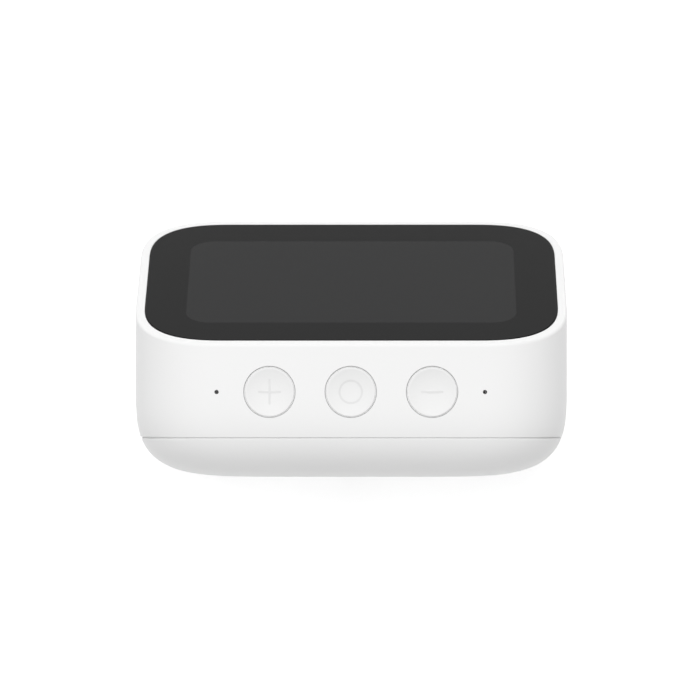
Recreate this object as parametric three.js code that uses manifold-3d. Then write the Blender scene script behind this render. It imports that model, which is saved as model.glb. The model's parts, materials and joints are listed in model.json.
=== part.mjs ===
// A bedside smart speaker: a white loaf-shaped housing with a tilted touch display in front,
// three push buttons and two microphone holes on top, and a small loudspeaker that faces rearwards.
// Millimetres. +X is the right-hand side seen from the front, +Y the rear, +Z up.
// The origin is on the table, under the middle of the body.

import * as THREE from 'three';
import { mergeVertices } from 'three/addons/utils/BufferGeometryUtils.js';
import Module from 'manifold-3d';

const wasm = await Module();
wasm.setup();

// ---- Driving dimensions: housing --------------------------------------------------------------

const SCREEN_WIDTH = 86.4; // lit area of the display
const SCREEN_HEIGHT = 51.84;
const SCREEN_LIFT = 0.16; // lit area above the middle of the face
const BORDER_X = 10.95; // black border beside the lit area
const BORDER_Y = 11.18; // black border above and below it
const RIM_WIDTH = 2.35; // white rim round the glass
const FACE_TILT = THREE.MathUtils.degToRad(25.19); // face leans back from the vertical
const FACE_CORNER = 24.5; // corner of the face outline, both ways
const CORNER_POWER = 2.69; // 2 is a round corner, more is squarer
const BODY_DEPTH = 68.3;
const REAR_ROUND_X = 35.3; // how far the rear rounding reaches in from each side
const REAR_ROUND_Y = 25.3; // and forwards from the rear
const REAR_ROUND_Z = 26; // and in from the top and bottom
const REAR_POWER = 3.75;
const WALL = 2.2;
const SEAM_FROM_REAR = 10.45; // parting plane of main shell and rear cover
const LIP_LENGTH = 2.5; // lip of the rear cover inside the main shell
const LIP_WALL = 1;
const GAP = 0.3; // clearance between pieces that touch
const FOOT_PROUD = 0.6;

// ---- Driving dimensions: display stack, counted inwards from the face -------------------------

const GLASS_THICKNESS = 1.1;
const GLASS_GAP = 0.25;
const TAPE_THICKNESS = 0.4;
const STACK_GAP = 0.2;
const LEDGE_THICKNESS = 2; // ledge that the glass is taped to
const OPENING_CORNER = 4; // corner of the window in the ledge
const TRAY_CLEARANCE = 1.5; // backlight tray to that window
const PANEL_MARGIN = 2.8; // panel beyond the lit area
const PANEL_THICKNESS = 1.2;
const BACKLIGHT_MARGIN = 4; // backlight tray beyond the lit area
const BACKLIGHT_THICKNESS = 2.2;
const BRACKET_THICKNESS = 1.2;
const BRACKET_CLEARANCE = 0.8; // bracket to the housing's side walls
const BRACKET_TRIM = 4.1; // bracket lower edge inside the cavity's lower edge on the face
const BRACKET_PILLAR = 2.2; // radius of the shell's pillars that the bracket is screwed to
const PILLAR_INSET = 2.7; // pillars inside the housing's side walls
const POST_LENGTH = 2.8; // bracket posts that carry the main board
const POST_RADIUS = 2.3;
const BRACKET_WINDOW = [30, 26, 5]; // width, height and corner of its two lightening windows
const BRACKET_WINDOW_X = 22;
const MAIN_BOARD_WIDTH = 86;
const MAIN_BOARD_HEIGHT = 50;
const BOARD_THICKNESS = 1.2;
const BOARD_SCREW_INSET = 4; // main board's screws in from its edges
const CONNECTOR = [7, 5, 2.2]; // width, height and rise of a lead's connector
const CONNECTOR_X = 33;
const POWER_CONNECTOR_UP = -2;
const SPEAKER_CONNECTOR_UP = 10;
const SHIELD_WIDTH = 32;
const SHIELD_HEIGHT = 26;
const SHIELD_RISE = 2.6;
const SHIELD_WALL = 0.4;
const SHIELD_X = -4;
const SHIELD_UP = -6;
const PROCESSOR = [14, 14, 1.4]; // width, height and rise
const PROCESSOR_X = -9;
const MEMORY = [9, 12, 1.1];
const MEMORY_X = 5;
const FLEX_THICKNESS = 0.2;
const DISPLAY_FLEX_WIDTH = 22;
const BUTTON_FLEX_WIDTH = 12;
const BUTTON_FLEX_X = -18;

// ---- Driving dimensions: buttons and microphones ----------------------------------------------

const BUTTON_SPACING = 21.03;
const BUTTON_BACK = 11.75; // button row behind the body's middle
const BUTTON_RADIUS = 6.35;
const BUTTON_GAP = 0.32;
const BUTTON_DISH = 0.75; // depth of the finger dish
const BUTTON_TRAVEL = 0.35;
const FLANGE_LIP = 0.9; // flange that keeps the cap under the roof
const FLANGE_THICKNESS = 1;
const STEM_RADIUS = 2;
const STEM_LENGTH = 3.2;
const COLLAR_WALL = 1;
const SWITCH_WIDTH = 6;
const SWITCH_HEIGHT = 3.5;
const PLUNGER_RADIUS = 1.6;
const PLUNGER_PROUD = 1.5;
const PLUNGER_DEPTH = 1.1; // plunger inside the switch at rest
const BUTTON_BOARD_WIDTH = 12;
const BUTTON_BOARD_THICKNESS = 1;
const MIC_X = 34.7;
const MIC_RADIUS = 0.55;
const MIC_HEIGHT = 1.1;
const MIC_BODY = [3.6, 2.8];
const MIC_PORT = 0.4;
const BOOT_RADIUS = 2.2;
const BOARD_POST_X = 39.6;
const BOARD_POST_RADIUS = 2.3;

// ---- Driving dimensions: loudspeaker ----------------------------------------------------------

const SPEAKER_RADIUS = 20;
const SPEAKER_TRAVEL = 1.2;
const THROAT_STEP = 3.2; // basket's throat inside the driver's rim
const BASKET_DEPTH = 9.5; // motor seat ahead of the baffle's back
const BASKET_SKIN = 0.9;
const SEAT_LIP = 1.3; // cup's rim above that seat
const SPEAKER_FLOOR = 14.4; // underside of the speaker box above the table
const BOX_MARGIN = 1.3; // box beyond the driver, above and below
const BOX_HALF_WIDTH = 27;
const BOX_WALL = 1.8;
const BOX_TO_BOARD = 4.4; // box front wall behind the main board's back
const BAFFLE_THICKNESS = 2;
const BAFFLE_EAR = 6; // screw ears beyond the box
const SPEAKER_POST = 2.6; // radius of the cover's posts for those screws
const FLANGE_RING = 1;
const GASKET_THICKNESS = 1.2;
const CLOTH_THICKNESS = 0.35;
const COIL_RADIUS = 7;
const COIL_WALL = 0.5;
const COIL_RISE = 3.6; // coil beyond the cup's rim at rest
const CONE_STEP = 4.2; // cone's edge inside the throat
const CONE_SINK = 1.6; // cone's edge ahead of the driver's flange
const CONE_SKIN = 0.45;
const CAP_RISE = 1.8; // dust cap
const CAP_SKIN = 0.4;
const AIR_GAP = 0.35;
const CUP_WALL = 2.4;
const CUP_HEIGHT = 7.5;
const CUP_FLOOR = 1.6;
const MAGNET_HEIGHT = 3.5;
const GRILLE_PITCH = 3.4;
const GRILLE_HOLE = 0.85;
const GRILLE_RADIUS = 16.8;

// ---- Driving dimensions: power inlet, ballast, foot, screws -----------------------------------

const PORT_HEIGHT = 9.9; // inlet axis above the table
const PORT_WIDTH = 12.2;
const PORT_TALL = 6.4;
const WELL_WALL = 0.9; // wall of the well that the plug's boot goes into
const WELL_FLOOR = 1.2; // floor of that well, round the socket's mouth
const PORT_RECESS = 5.6; // socket mouth inside the rearmost point of the body
const SOCKET_WIDTH = 8.94;
const SOCKET_TALL = 3.26;
const SOCKET_LENGTH = 7.3;
const SOCKET_WALL = 0.3;
const TONGUE = [6.6, 0.7]; // width and thickness of the socket's tongue
const POWER_BOARD_WIDTH = 24;
const POWER_BOARD_LENGTH = 19;
const BOARD_CLEARANCE = 0.1; // that board to the cover's lip
const ANTENNA_LENGTH = 16;
const ANTENNA_HEIGHT = 10;
const ANTENNA_THICKNESS = 0.5;
const BALLAST_WIDTH = 70;
const BALLAST_DEPTH = 19;
const BALLAST_THICKNESS = 4;
const BALLAST_BACK = 4; // its rear edge behind the body's middle
const LEAD_LIFT = 3.4; // leads' ends above the main board's back
const POWER_LEAD = 0.8; // radii of the two leads
const SPEAKER_LEAD = 0.7;
const FOOT_WIDTH = 92;
const FOOT_DEPTH = 40;
const FOOT_CORNER = 14;
const FOOT_RECESS = 1;
const FOOT_BACK = 15; // rear edge of the foot behind the body's middle
const SCREW_RADIUS = 0.9;
const SCREW_HOLE = 1.2;
const SCREW_HEAD = 1.9;
const SCREW_HEAD_HEIGHT = 1;
const SCREW_CLEAR = 0.1; // head to its seat
const SCREW_SEAT = 1.4; // seat of the foot's screws above the foot's recess
const BOSS_RISE = 1.9; // bosses round those screws above the inside floor
const LUG_WIDTH = 8;
const LUG_HEIGHT = 4.8;
const LUG_X = 30;
const LUG_BACK = 10.5; // screw behind the body's middle

// ---- Smoothness -------------------------------------------------------------------------------

const CORNER_STEPS = 8;
const REAR_STEPS = 7;
const ROUND_SIDES = 20;
const SMALL_SIDES = 10;
const SCREW_SIDES = 8;
const REACH = 400; // larger than the whole body, for cutting blocks

// ---- Derived sizes and places -----------------------------------------------------------------

const FACE_WIDTH = SCREEN_WIDTH + 2 * (BORDER_X + RIM_WIDTH);
const FACE_HEIGHT = SCREEN_HEIGHT + 2 * (BORDER_Y + RIM_WIDTH);
const BODY_WIDTH = FACE_WIDTH;
const BODY_HEIGHT = FACE_HEIGHT * Math.cos(FACE_TILT);
const FLOOR_Z = FOOT_PROUD;
const MID_Z = FLOOR_Z + BODY_HEIGHT / 2;
const TOP_Z = FLOOR_Z + BODY_HEIGHT;
const ROOF_Z = TOP_Z - WALL;
const FRONT_Y = -BODY_DEPTH / 2;
const REAR_Y = BODY_DEPTH / 2;
const SEAM_Y = REAR_Y - SEAM_FROM_REAR;
const FACE_Y = FRONT_Y + (BODY_HEIGHT / 2) * Math.tan(FACE_TILT);
const POCKET_WIDTH = FACE_WIDTH - 2 * RIM_WIDTH;
const POCKET_HEIGHT = FACE_HEIGHT - 2 * RIM_WIDTH;
const POCKET_CORNER = FACE_CORNER - RIM_WIDTH;
const TAPE_AT = GLASS_THICKNESS + STACK_GAP;
const LEDGE_AT = TAPE_AT + TAPE_THICKNESS + STACK_GAP;
const LEDGE_BACK = LEDGE_AT + LEDGE_THICKNESS;
const PANEL_AT = GLASS_THICKNESS + STACK_GAP;
const BACKLIGHT_AT = PANEL_AT + PANEL_THICKNESS + STACK_GAP;
const BRACKET_AT = Math.max(BACKLIGHT_AT + BACKLIGHT_THICKNESS, LEDGE_BACK + 1) + GAP;
const BRACKET_BACK = BRACKET_AT + BRACKET_THICKNESS;
const MAIN_BOARD_AT = BRACKET_BACK + POST_LENGTH + STACK_GAP;
const MAIN_BOARD_BACK = MAIN_BOARD_AT + BOARD_THICKNESS;
const BUTTON_HOLE = BUTTON_RADIUS + BUTTON_GAP;
const FLANGE_RADIUS = BUTTON_RADIUS + FLANGE_LIP;
const COLLAR_RADIUS = FLANGE_RADIUS + GAP + COLLAR_WALL;
const FLANGE_TOP = ROOF_Z - GAP;
const FLANGE_BOTTOM = FLANGE_TOP - FLANGE_THICKNESS;
const STEM_BOTTOM = FLANGE_BOTTOM - STEM_LENGTH;
const PLUNGER_TOP = STEM_BOTTOM - 0.1;
const SWITCH_TOP = PLUNGER_TOP - PLUNGER_PROUD;
const BUTTON_BOARD_TOP = SWITCH_TOP - SWITCH_HEIGHT - STACK_GAP;
const BUTTON_BOARD_BOTTOM = BUTTON_BOARD_TOP - BUTTON_BOARD_THICKNESS;
const COVER_INSIDE = REAR_Y - WALL;
const CLOTH_BACK = COVER_INSIDE - 0.35;
const GASKET_BACK = COVER_INSIDE - 0.75;
const FLANGE_BACK = GASKET_BACK - GASKET_THICKNESS - STACK_GAP;
const BAFFLE_BACK = FLANGE_BACK - FLANGE_RING - STACK_GAP;
const BAFFLE_FRONT = BAFFLE_BACK - BAFFLE_THICKNESS;
const BOX_HEIGHT = 2 * (SPEAKER_RADIUS + BOX_MARGIN);
const SPEAKER_Z = SPEAKER_FLOOR + BOX_HEIGHT / 2;
const THROAT_RADIUS = SPEAKER_RADIUS - THROAT_STEP;
const CUP_INNER = COIL_RADIUS + AIR_GAP;
const CUP_OUTER = CUP_INNER + CUP_WALL;
const BASKET_SEAT = BAFFLE_BACK - BASKET_DEPTH;
const SOCKET_BACK = REAR_Y - PORT_RECESS;
const WELL_FRONT = SOCKET_BACK + STACK_GAP - WELL_FLOOR;
const POWER_BOARD_TOP = PORT_HEIGHT - SOCKET_TALL / 2 - STACK_GAP;
const POWER_BOARD_BACK = WELL_FRONT - GAP;

// ---- Finishes ---------------------------------------------------------------------------------

function finish(color, roughness, metalness) {
  return new THREE.MeshStandardMaterial({ color, roughness, metalness });
}

const whitePlastic = finish(0xf2f2f1, 0.55, 0);
const buttonPlastic = finish(0xececeb, 0.5, 0);
const blackGlass = finish(0x222223, 0.12, 0);
const blackTape = finish(0x1a1a1a, 0.9, 0);
const panelGlass = finish(0x2d2d2f, 0.25, 0);
const stampedSteel = finish(0xb8babd, 0.35, 1);
const darkSteel = finish(0x6b6d70, 0.4, 1);
const screwSteel = finish(0x8d8f93, 0.3, 1);
const boardGreen = finish(0x1f5a3a, 0.5, 0);
const chipBlack = finish(0x1c1c1e, 0.45, 0);
const amberFilm = finish(0xb5702a, 0.4, 0);
const greyRubber = finish(0x8f9092, 0.85, 0);
const blackRubber = finish(0x1f1f20, 0.85, 0);
const blackPlastic = finish(0x26272a, 0.5, 0);
const conePaper = finish(0x2b2b2d, 0.8, 0);
const copperWire = finish(0xb4683a, 0.35, 1);
const clothBlack = finish(0x151516, 0.95, 0);
const redSleeve = finish(0xa32420, 0.55, 0);

// ---- Solids -----------------------------------------------------------------------------------

// A closed three.js geometry as a solid: shared vertices merged, slivers of no area left out.
function solid(geometry) {
  const bare = geometry.clone();
  bare.deleteAttribute('normal');
  bare.deleteAttribute('uv');
  const merged = mergeVertices(bare, 1e-4);
  const triangles = [];
  const index = merged.index.array;
  for (let i = 0; i < index.length; i += 3) {
    const [a, b, c] = [index[i], index[i + 1], index[i + 2]];
    if (a !== b && b !== c && c !== a) triangles.push(a, b, c);
  }
  return new wasm.Manifold(new wasm.Mesh({
    numProp: 3,
    vertProperties: new Float32Array(merged.attributes.position.array),
    triVerts: new Uint32Array(triangles),
  }));
}

function cut(base, ...tools) {
  return tools.reduce((left, tool) => left.subtract(tool), base);
}

function join(base, ...pieces) {
  return pieces.reduce((whole, piece) => whole.add(piece), base);
}

function geometryOf(body) {
  const mesh = body.getMesh();
  const geometry = new THREE.BufferGeometry();
  geometry.setAttribute('position', new THREE.BufferAttribute(mesh.vertProperties, 3));
  geometry.setIndex(new THREE.BufferAttribute(mesh.triVerts, 1));
  geometry.computeVertexNormals();
  return geometry;
}

function place(parent, name, body, material) {
  const mesh = new THREE.Mesh(geometryOf(body), material);
  mesh.name = name;
  parent.add(mesh);
  return mesh;
}

// ---- Basic shapes -----------------------------------------------------------------------------

// A rectangle whose corners follow |x|^p + |y|^p = 1, cornerX wide and cornerY high.
function cornered(width, height, cornerX, cornerY = cornerX, power = CORNER_POWER, steps = CORNER_STEPS) {
  const points = [];
  const reachX = Math.min(cornerX, width / 2);
  const reachY = Math.min(cornerY, height / 2);
  for (const [signX, signY] of [[1, 1], [-1, 1], [-1, -1], [1, -1]]) {
    for (let k = 0; k <= steps; k++) {
      const part = signX * signY > 0 ? k / steps : 1 - k / steps;
      const angle = (part * Math.PI) / 2;
      const across = Math.max(Math.cos(angle), 0) ** (2 / power);
      const up = Math.sin(angle) ** (2 / power);
      const x = signX * (width / 2 - reachX + reachX * across);
      const y = signY * (height / 2 - reachY + reachY * up);
      points.push(new THREE.Vector2(x, y));
    }
  }
  return points.filter((point, i) => point.distanceTo(points[(i + 1) % points.length]) > 1e-3);
}

function slabOf(points, from, to) {
  const shape = new THREE.Shape(points);
  const geometry = new THREE.ExtrudeGeometry(shape, { depth: to - from, bevelEnabled: false });
  return geometry.translate(0, 0, from);
}

// A plate in the XY plane, from one height to another.
function plate(width, height, corner, from, to, lift = 0) {
  return solid(slabOf(cornered(width, height, corner), from, to).translate(0, lift, 0));
}

// A box given by its middle in X and Y and its two heights.
function box(width, depth, from, to, x = 0, y = 0) {
  return solid(new THREE.BoxGeometry(width, depth, to - from).translate(x, y, (from + to) / 2));
}

// An upright rod.
function rod(radius, from, to, x = 0, y = 0, sides = SMALL_SIDES) {
  const geometry = new THREE.CylinderGeometry(radius, radius, to - from, sides);
  return solid(geometry.rotateX(Math.PI / 2).translate(x, y, (from + to) / 2));
}

// A profile of [radius, height] pairs turned about the Z axis, listed up the outside and back.
function turned(profile, sides = ROUND_SIDES) {
  const points = profile.map(([radius, height]) => new THREE.Vector2(radius, height));
  return solid(new THREE.LatheGeometry(points, sides).rotateX(Math.PI / 2));
}

// The same profile with its height along +Y, for the loudspeaker.
function turnedBack(profile, sides = ROUND_SIDES) {
  const points = profile.map(([radius, height]) => new THREE.Vector2(radius, height));
  return solid(new THREE.LatheGeometry(points, sides).translate(0, 0, SPEAKER_Z));
}

function ring(inner, outer, from, to) {
  return [[inner, from], [outer, from], [outer, to], [inner, to], [inner, from]];
}

function disc(radius, from, to) {
  return [[0, from], [radius, from], [radius, to], [0, to]];
}

// A flat strip that follows a bent line in a plane and is extruded across it.
function ribbon(line, thickness, width) {
  const left = [];
  const right = [];
  line.forEach((point, i) => {
    const before = line[Math.max(i - 1, 0)];
    const after = line[Math.min(i + 1, line.length - 1)];
    const along = after.clone().sub(before).normalize();
    const side = new THREE.Vector2(-along.y, along.x).multiplyScalar(thickness / 2);
    left.push(point.clone().add(side));
    right.unshift(point.clone().sub(side));
  });
  return slabOf([...left, ...right], -width / 2, width / 2);
}

// A round wire along a smooth curve through the given points.
function wire(points, radius, steps) {
  const path = new THREE.CatmullRomCurve3(points.map((point) => new THREE.Vector3(...point)));
  const section = new THREE.Shape(cornered(2 * radius, 2 * radius, radius, radius, 2, 2));
  return solid(new THREE.ExtrudeGeometry(section, { extrudePath: path, steps, bevelEnabled: false }));
}

// A screw with its head's underside at zero, its shaft pointing down and its axis along Z.
function screw(shaft) {
  const drive = SCREW_HEAD * 0.45;
  const profile = [
    [0, -shaft], [SCREW_RADIUS, -shaft + SCREW_RADIUS / 2], [SCREW_RADIUS, 0], [SCREW_HEAD, 0],
    [SCREW_HEAD, SCREW_HEAD_HEIGHT], [drive, SCREW_HEAD_HEIGHT], [0, SCREW_HEAD_HEIGHT / 2],
  ];
  return turned(profile, SCREW_SIDES);
}

// ---- The body form ----------------------------------------------------------------------------

// The whole body's form, set in by an offset: one rounded section drawn back along Y, which
// shrinks over the last stretch so that the rear edges are rounded in every direction.
function bodyForm(inset) {
  const width = BODY_WIDTH - 2 * inset;
  const height = BODY_HEIGHT - 2 * inset;
  const cornerZ = FACE_CORNER * Math.cos(FACE_TILT);
  const section = cornered(width, height, FACE_CORNER - inset, cornerZ - inset);
  const rings = REAR_STEPS + 1;
  const shape = new THREE.Shape(section);
  const geometry = new THREE.ExtrudeGeometry(shape, { depth: rings, steps: rings, bevelEnabled: false });
  const position = geometry.attributes.position;
  const reachY = REAR_ROUND_Y - inset;
  for (let i = 0; i < position.count; i++) {
    const level = Math.round(position.getZ(i));
    const angle = ((Math.max(level, 1) - 1) / REAR_STEPS) * (Math.PI / 2);
    const back = Math.sin(angle) ** (2 / REAR_POWER);
    const loss = 1 - Math.max(Math.cos(angle), 0) ** (2 / REAR_POWER);
    const x = position.getX(i) * (1 - (2 * (REAR_ROUND_X - inset) * loss) / width);
    const z = position.getY(i) * (1 - (2 * (REAR_ROUND_Z - inset) * loss) / height);
    const y = level === 0 ? FRONT_Y - WALL : REAR_Y - inset - reachY + reachY * back;
    position.setXYZ(i, -x, y, MID_Z + z);
  }
  return solid(geometry);
}

// Everything behind a plane across Y, or in front of it.
function behind(y) {
  return box(REACH, REACH, -REACH / 2, REACH / 2, 0, y + REACH / 2);
}

function ahead(y) {
  return box(REACH, REACH, -REACH / 2, REACH / 2, 0, y - REACH / 2);
}

// The face's own frame: X across, Y up the slope, Z out of the face; depths are counted inwards.
const faceTurn = Math.PI / 2 - FACE_TILT;
const faceMatrix = new THREE.Matrix4().makeRotationX(faceTurn).setPosition(0, FACE_Y, MID_Z);

function onFace(body) {
  return solid(geometryOf(body).applyMatrix4(faceMatrix));
}

function facePoint(up, depth) {
  return new THREE.Vector3(0, up, -depth).applyMatrix4(faceMatrix);
}

// Everything nearer the face than a depth.
function nearerThan(depth) {
  return onFace(box(REACH, REACH, -depth, REACH / 2));
}

// The window in the ledge, which the panel and its backlight sit in, or a little larger.
function ledgeWindow(extra, from) {
  const width = SCREEN_WIDTH + 2 * (BACKLIGHT_MARGIN + TRAY_CLEARANCE + extra);
  const height = SCREEN_HEIGHT + 2 * (BACKLIGHT_MARGIN + TRAY_CLEARANCE + extra);
  return plate(width, height, OPENING_CORNER, from, 0, SCREEN_LIFT);
}

const outerForm = bodyForm(0);
const cavityForm = bodyForm(WALL);

const bracketWidth = BODY_WIDTH - 2 * (WALL + BRACKET_CLEARANCE);
const cavityOnFace = FACE_HEIGHT - (2 * WALL) / Math.cos(FACE_TILT);
const bracketHeight = cavityOnFace - 2 * BRACKET_TRIM + BRACKET_CLEARANCE;
const bracketScrews = [];
for (const x of [-1, 1]) {
  for (const y of [-1, 1]) {
    bracketScrews.push([x * (BODY_WIDTH / 2 - WALL - PILLAR_INSET), (y * SCREEN_HEIGHT) / 3]);
  }
}
const boardScrews = [[-1, -1], [1, -1], [-1, 1], [1, 1]].map(([x, y]) => [
  x * (MAIN_BOARD_WIDTH / 2 - BOARD_SCREW_INSET),
  y * (MAIN_BOARD_HEIGHT / 2 - BOARD_SCREW_INSET),
]);
const buttonRow = [
  ['volume_up', BUTTON_SPACING],
  ['action', 0],
  ['volume_down', -BUTTON_SPACING],
];
const lugPoints = [[-LUG_X, LUG_BACK], [LUG_X, LUG_BACK]];
const lugFloor = FLOOR_Z + WALL + BOSS_RISE;
const screwSeat = FLOOR_Z + FOOT_RECESS + SCREW_SEAT;
const speakerScrews = [-1, 1].map((side) => [side * (BOX_HALF_WIDTH + BAFFLE_EAR / 2), SPEAKER_Z]);

// The foot pad's outline, or one larger all round, between two heights.
function footSlab(extra, from, to) {
  const outline = cornered(FOOT_WIDTH + 2 * extra, FOOT_DEPTH + 2 * extra, FOOT_CORNER + extra);
  return solid(slabOf(outline, from, to).translate(0, FOOT_BACK - FOOT_DEPTH / 2, 0));
}

// ---- Housing ----------------------------------------------------------------------------------

function mainShell() {
  const cavity = cut(cavityForm, nearerThan(LEDGE_BACK));
  const pocket = onFace(plate(POCKET_WIDTH, POCKET_HEIGHT, POCKET_CORNER, -LEDGE_AT, WALL));
  const opening = onFace(ledgeWindow(0, -LEDGE_BACK - 1));
  let shell = cut(outerForm, nearerThan(0), behind(SEAM_Y - GAP / 2), cavity, pocket, opening);

  const pillars = bracketScrews.map(([x, y]) => {
    return onFace(rod(BRACKET_PILLAR, -BRACKET_AT + GAP, -LEDGE_BACK + 0.5, x, y));
  });
  const collars = buttonRow.map(([, x]) => {
    return rod(COLLAR_RADIUS, FLANGE_BOTTOM - 1, ROOF_Z + 0.5, x, BUTTON_BACK, ROUND_SIDES);
  });
  const posts = [-1, 1].map((side) => {
    const post = rod(BOARD_POST_RADIUS, BUTTON_BOARD_TOP + GAP, TOP_Z, side * BOARD_POST_X, BUTTON_BACK);
    return post.intersect(bodyForm(WALL / 2));
  });
  const bosses = lugPoints.map(([x, y]) => {
    return rod(SCREW_HEAD + 2, FLOOR_Z + WALL / 2, lugFloor - GAP, x, y);
  });
  shell = join(shell, ...pillars, ...collars, ...posts, ...bosses);

  const pilots = bracketScrews.map(([x, y]) => onFace(rod(SCREW_HOLE, -BRACKET_AT, -LEDGE_AT - 0.5, x, y)));
  const guides = buttonRow.map(([, x]) => {
    return rod(FLANGE_RADIUS + GAP, FLANGE_BOTTOM - 2, ROOF_Z, x, BUTTON_BACK, ROUND_SIDES);
  });
  const holes = buttonRow.map(([, x]) => {
    return rod(BUTTON_HOLE, ROOF_Z - 1, TOP_Z + 1, x, BUTTON_BACK, ROUND_SIDES);
  });
  const micHoles = [-MIC_X, MIC_X].map((x) => rod(MIC_RADIUS, ROOF_Z - 1, TOP_Z + 1, x, BUTTON_BACK));
  const postHoles = [-BOARD_POST_X, BOARD_POST_X].map((x) => {
    return rod(SCREW_HOLE, BUTTON_BOARD_TOP, BUTTON_BOARD_TOP + 6, x, BUTTON_BACK);
  });
  const sinks = lugPoints.flatMap(([x, y]) => [
    rod(SCREW_HEAD + GAP, FLOOR_Z - 1, screwSeat, x, y),
    rod(SCREW_HOLE, screwSeat - 0.5, lugFloor, x, y),
  ]);
  const footRecess = footSlab(GAP, FLOOR_Z - 1, FLOOR_Z + FOOT_RECESS);
  return cut(shell, ...pilots, ...guides, ...holes, ...micHoles, ...postHoles, footRecess, ...sinks);
}

function grilleHoles() {
  const holes = [];
  const rowStep = GRILLE_PITCH * Math.sqrt(3) / 2;
  const rows = Math.floor(GRILLE_RADIUS / rowStep);
  for (let row = -rows; row <= rows; row++) {
    const z = row * rowStep;
    const shift = row % 2 === 0 ? 0 : GRILLE_PITCH / 2;
    const reach = Math.sqrt(GRILLE_RADIUS ** 2 - z ** 2);
    for (let x = shift - GRILLE_PITCH * 12; x <= reach; x += GRILLE_PITCH) {
      if (x < -reach) continue;
      const hole = new THREE.CylinderGeometry(GRILLE_HOLE, GRILLE_HOLE, 3 * WALL, 6);
      holes.push(solid(hole.translate(x, COVER_INSIDE + WALL / 2, SPEAKER_Z + z)));
    }
  }
  return holes;
}

// The power board, or the room it needs with a clearance under it and beside it.
function powerBoardBox(room) {
  const bottom = POWER_BOARD_TOP - BUTTON_BOARD_THICKNESS - room;
  const middle = POWER_BOARD_BACK - POWER_BOARD_LENGTH / 2;
  return box(POWER_BOARD_WIDTH + 2 * room, POWER_BOARD_LENGTH, bottom, POWER_BOARD_TOP, 0, middle);
}

// A bar with round ends along Y at the inlet's height, from one depth to another.
function inletBar(width, tall, from, to) {
  const geometry = slabOf(cornered(width, tall, tall / 2, tall / 2, 2, 4), from, to);
  return solid(geometry.rotateX(Math.PI / 2).rotateZ(Math.PI).translate(0, 0, PORT_HEIGHT));
}

function rearCover() {
  const lipInner = bodyForm(WALL + GAP + LIP_WALL);
  const collarRooms = buttonRow.map(([, x]) => {
    return rod(COLLAR_RADIUS + GAP, FLANGE_BOTTOM - 2, TOP_Z, x, BUTTON_BACK, ROUND_SIDES);
  });
  const lipFront = SEAM_Y - LIP_LENGTH;
  const boardRoom = powerBoardBox(BOARD_CLEARANCE);
  const rooms = [...collarRooms, boardRoom];
  const lip = cut(bodyForm(WALL + GAP), lipInner, ahead(lipFront), behind(SEAM_Y + 2), ...rooms);
  const rootForm = cut(bodyForm(WALL / 2), lipInner, ahead(SEAM_Y + GAP), behind(SEAM_Y + 2));
  const root = cut(rootForm, boardRoom);
  const lugs = lugPoints.map(([x, y]) => {
    const bar = box(LUG_WIDTH, REAR_Y - y, lugFloor, lugFloor + LUG_HEIGHT, x, (REAR_Y + y - LUG_WIDTH) / 2);
    return bar.intersect(bodyForm(WALL / 2));
  });
  const lugHoles = lugPoints.map(([x, y]) => {
    return rod(SCREW_HOLE, lugFloor - 1, lugFloor + LUG_HEIGHT - 0.8, x, y);
  });
  const posts = speakerScrews.map(([x, z]) => {
    const length = REAR_Y - BAFFLE_BACK;
    const post = new THREE.CylinderGeometry(SPEAKER_POST, SPEAKER_POST, length, SMALL_SIDES);
    return solid(post.translate(x, (REAR_Y + BAFFLE_BACK) / 2 + GAP, z)).intersect(bodyForm(WALL / 2));
  });
  const pilots = speakerScrews.map(([x, z]) => {
    const hole = new THREE.CylinderGeometry(SCREW_HOLE, SCREW_HOLE, 4, SMALL_SIDES);
    return solid(hole.translate(x, BAFFLE_BACK + 2, z));
  });
  const wellBar = inletBar(PORT_WIDTH + 2 * WELL_WALL, PORT_TALL + 2 * WELL_WALL, WELL_FRONT, REAR_Y);
  const well = wellBar.intersect(bodyForm(WALL / 2));
  const bootRoom = inletBar(PORT_WIDTH, PORT_TALL, SOCKET_BACK + STACK_GAP, REAR_Y + 1);
  const socketRoom = inletBar(SOCKET_WIDTH + 2 * GAP, SOCKET_TALL + 2 * GAP, WELL_FRONT - 1, REAR_Y);
  const wall = cut(outerForm, cavityForm, ahead(SEAM_Y + GAP / 2));
  const whole = join(wall, lip, root, ...lugs, ...posts, well);
  return cut(whole, bootRoom, socketRoom, ...lugHoles, ...pilots, ...grilleHoles());
}

function addHousing(parent) {
  place(parent, 'main_shell', mainShell(), whitePlastic);
  place(parent, 'rear_cover', rearCover(), whitePlastic);

  const footTop = FOOT_PROUD + FOOT_RECESS - STACK_GAP / 2;
  place(parent, 'foot_pad', footSlab(0, 0, footTop), greyRubber);

  lugPoints.forEach(([x, y], i) => {
    const coverScrew = place(parent, `cover_screw_${i + 1}`, screw(5.2), screwSteel);
    coverScrew.rotation.x = Math.PI;
    coverScrew.position.set(x, y, screwSeat - SCREW_CLEAR);
  });

  const ballastFloor = FLOOR_Z + WALL + GAP;
  const outline = cornered(BALLAST_WIDTH, BALLAST_DEPTH, 3, 3, 2, 3);
  const ballast = slabOf(outline, ballastFloor, ballastFloor + BALLAST_THICKNESS);
  ballast.translate(0, BALLAST_BACK - BALLAST_DEPTH / 2, 0);
  place(parent, 'ballast_plate', solid(ballast), darkSteel);
}

// ---- Display stack and main board, in the face's frame ----------------------------------------

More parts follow.
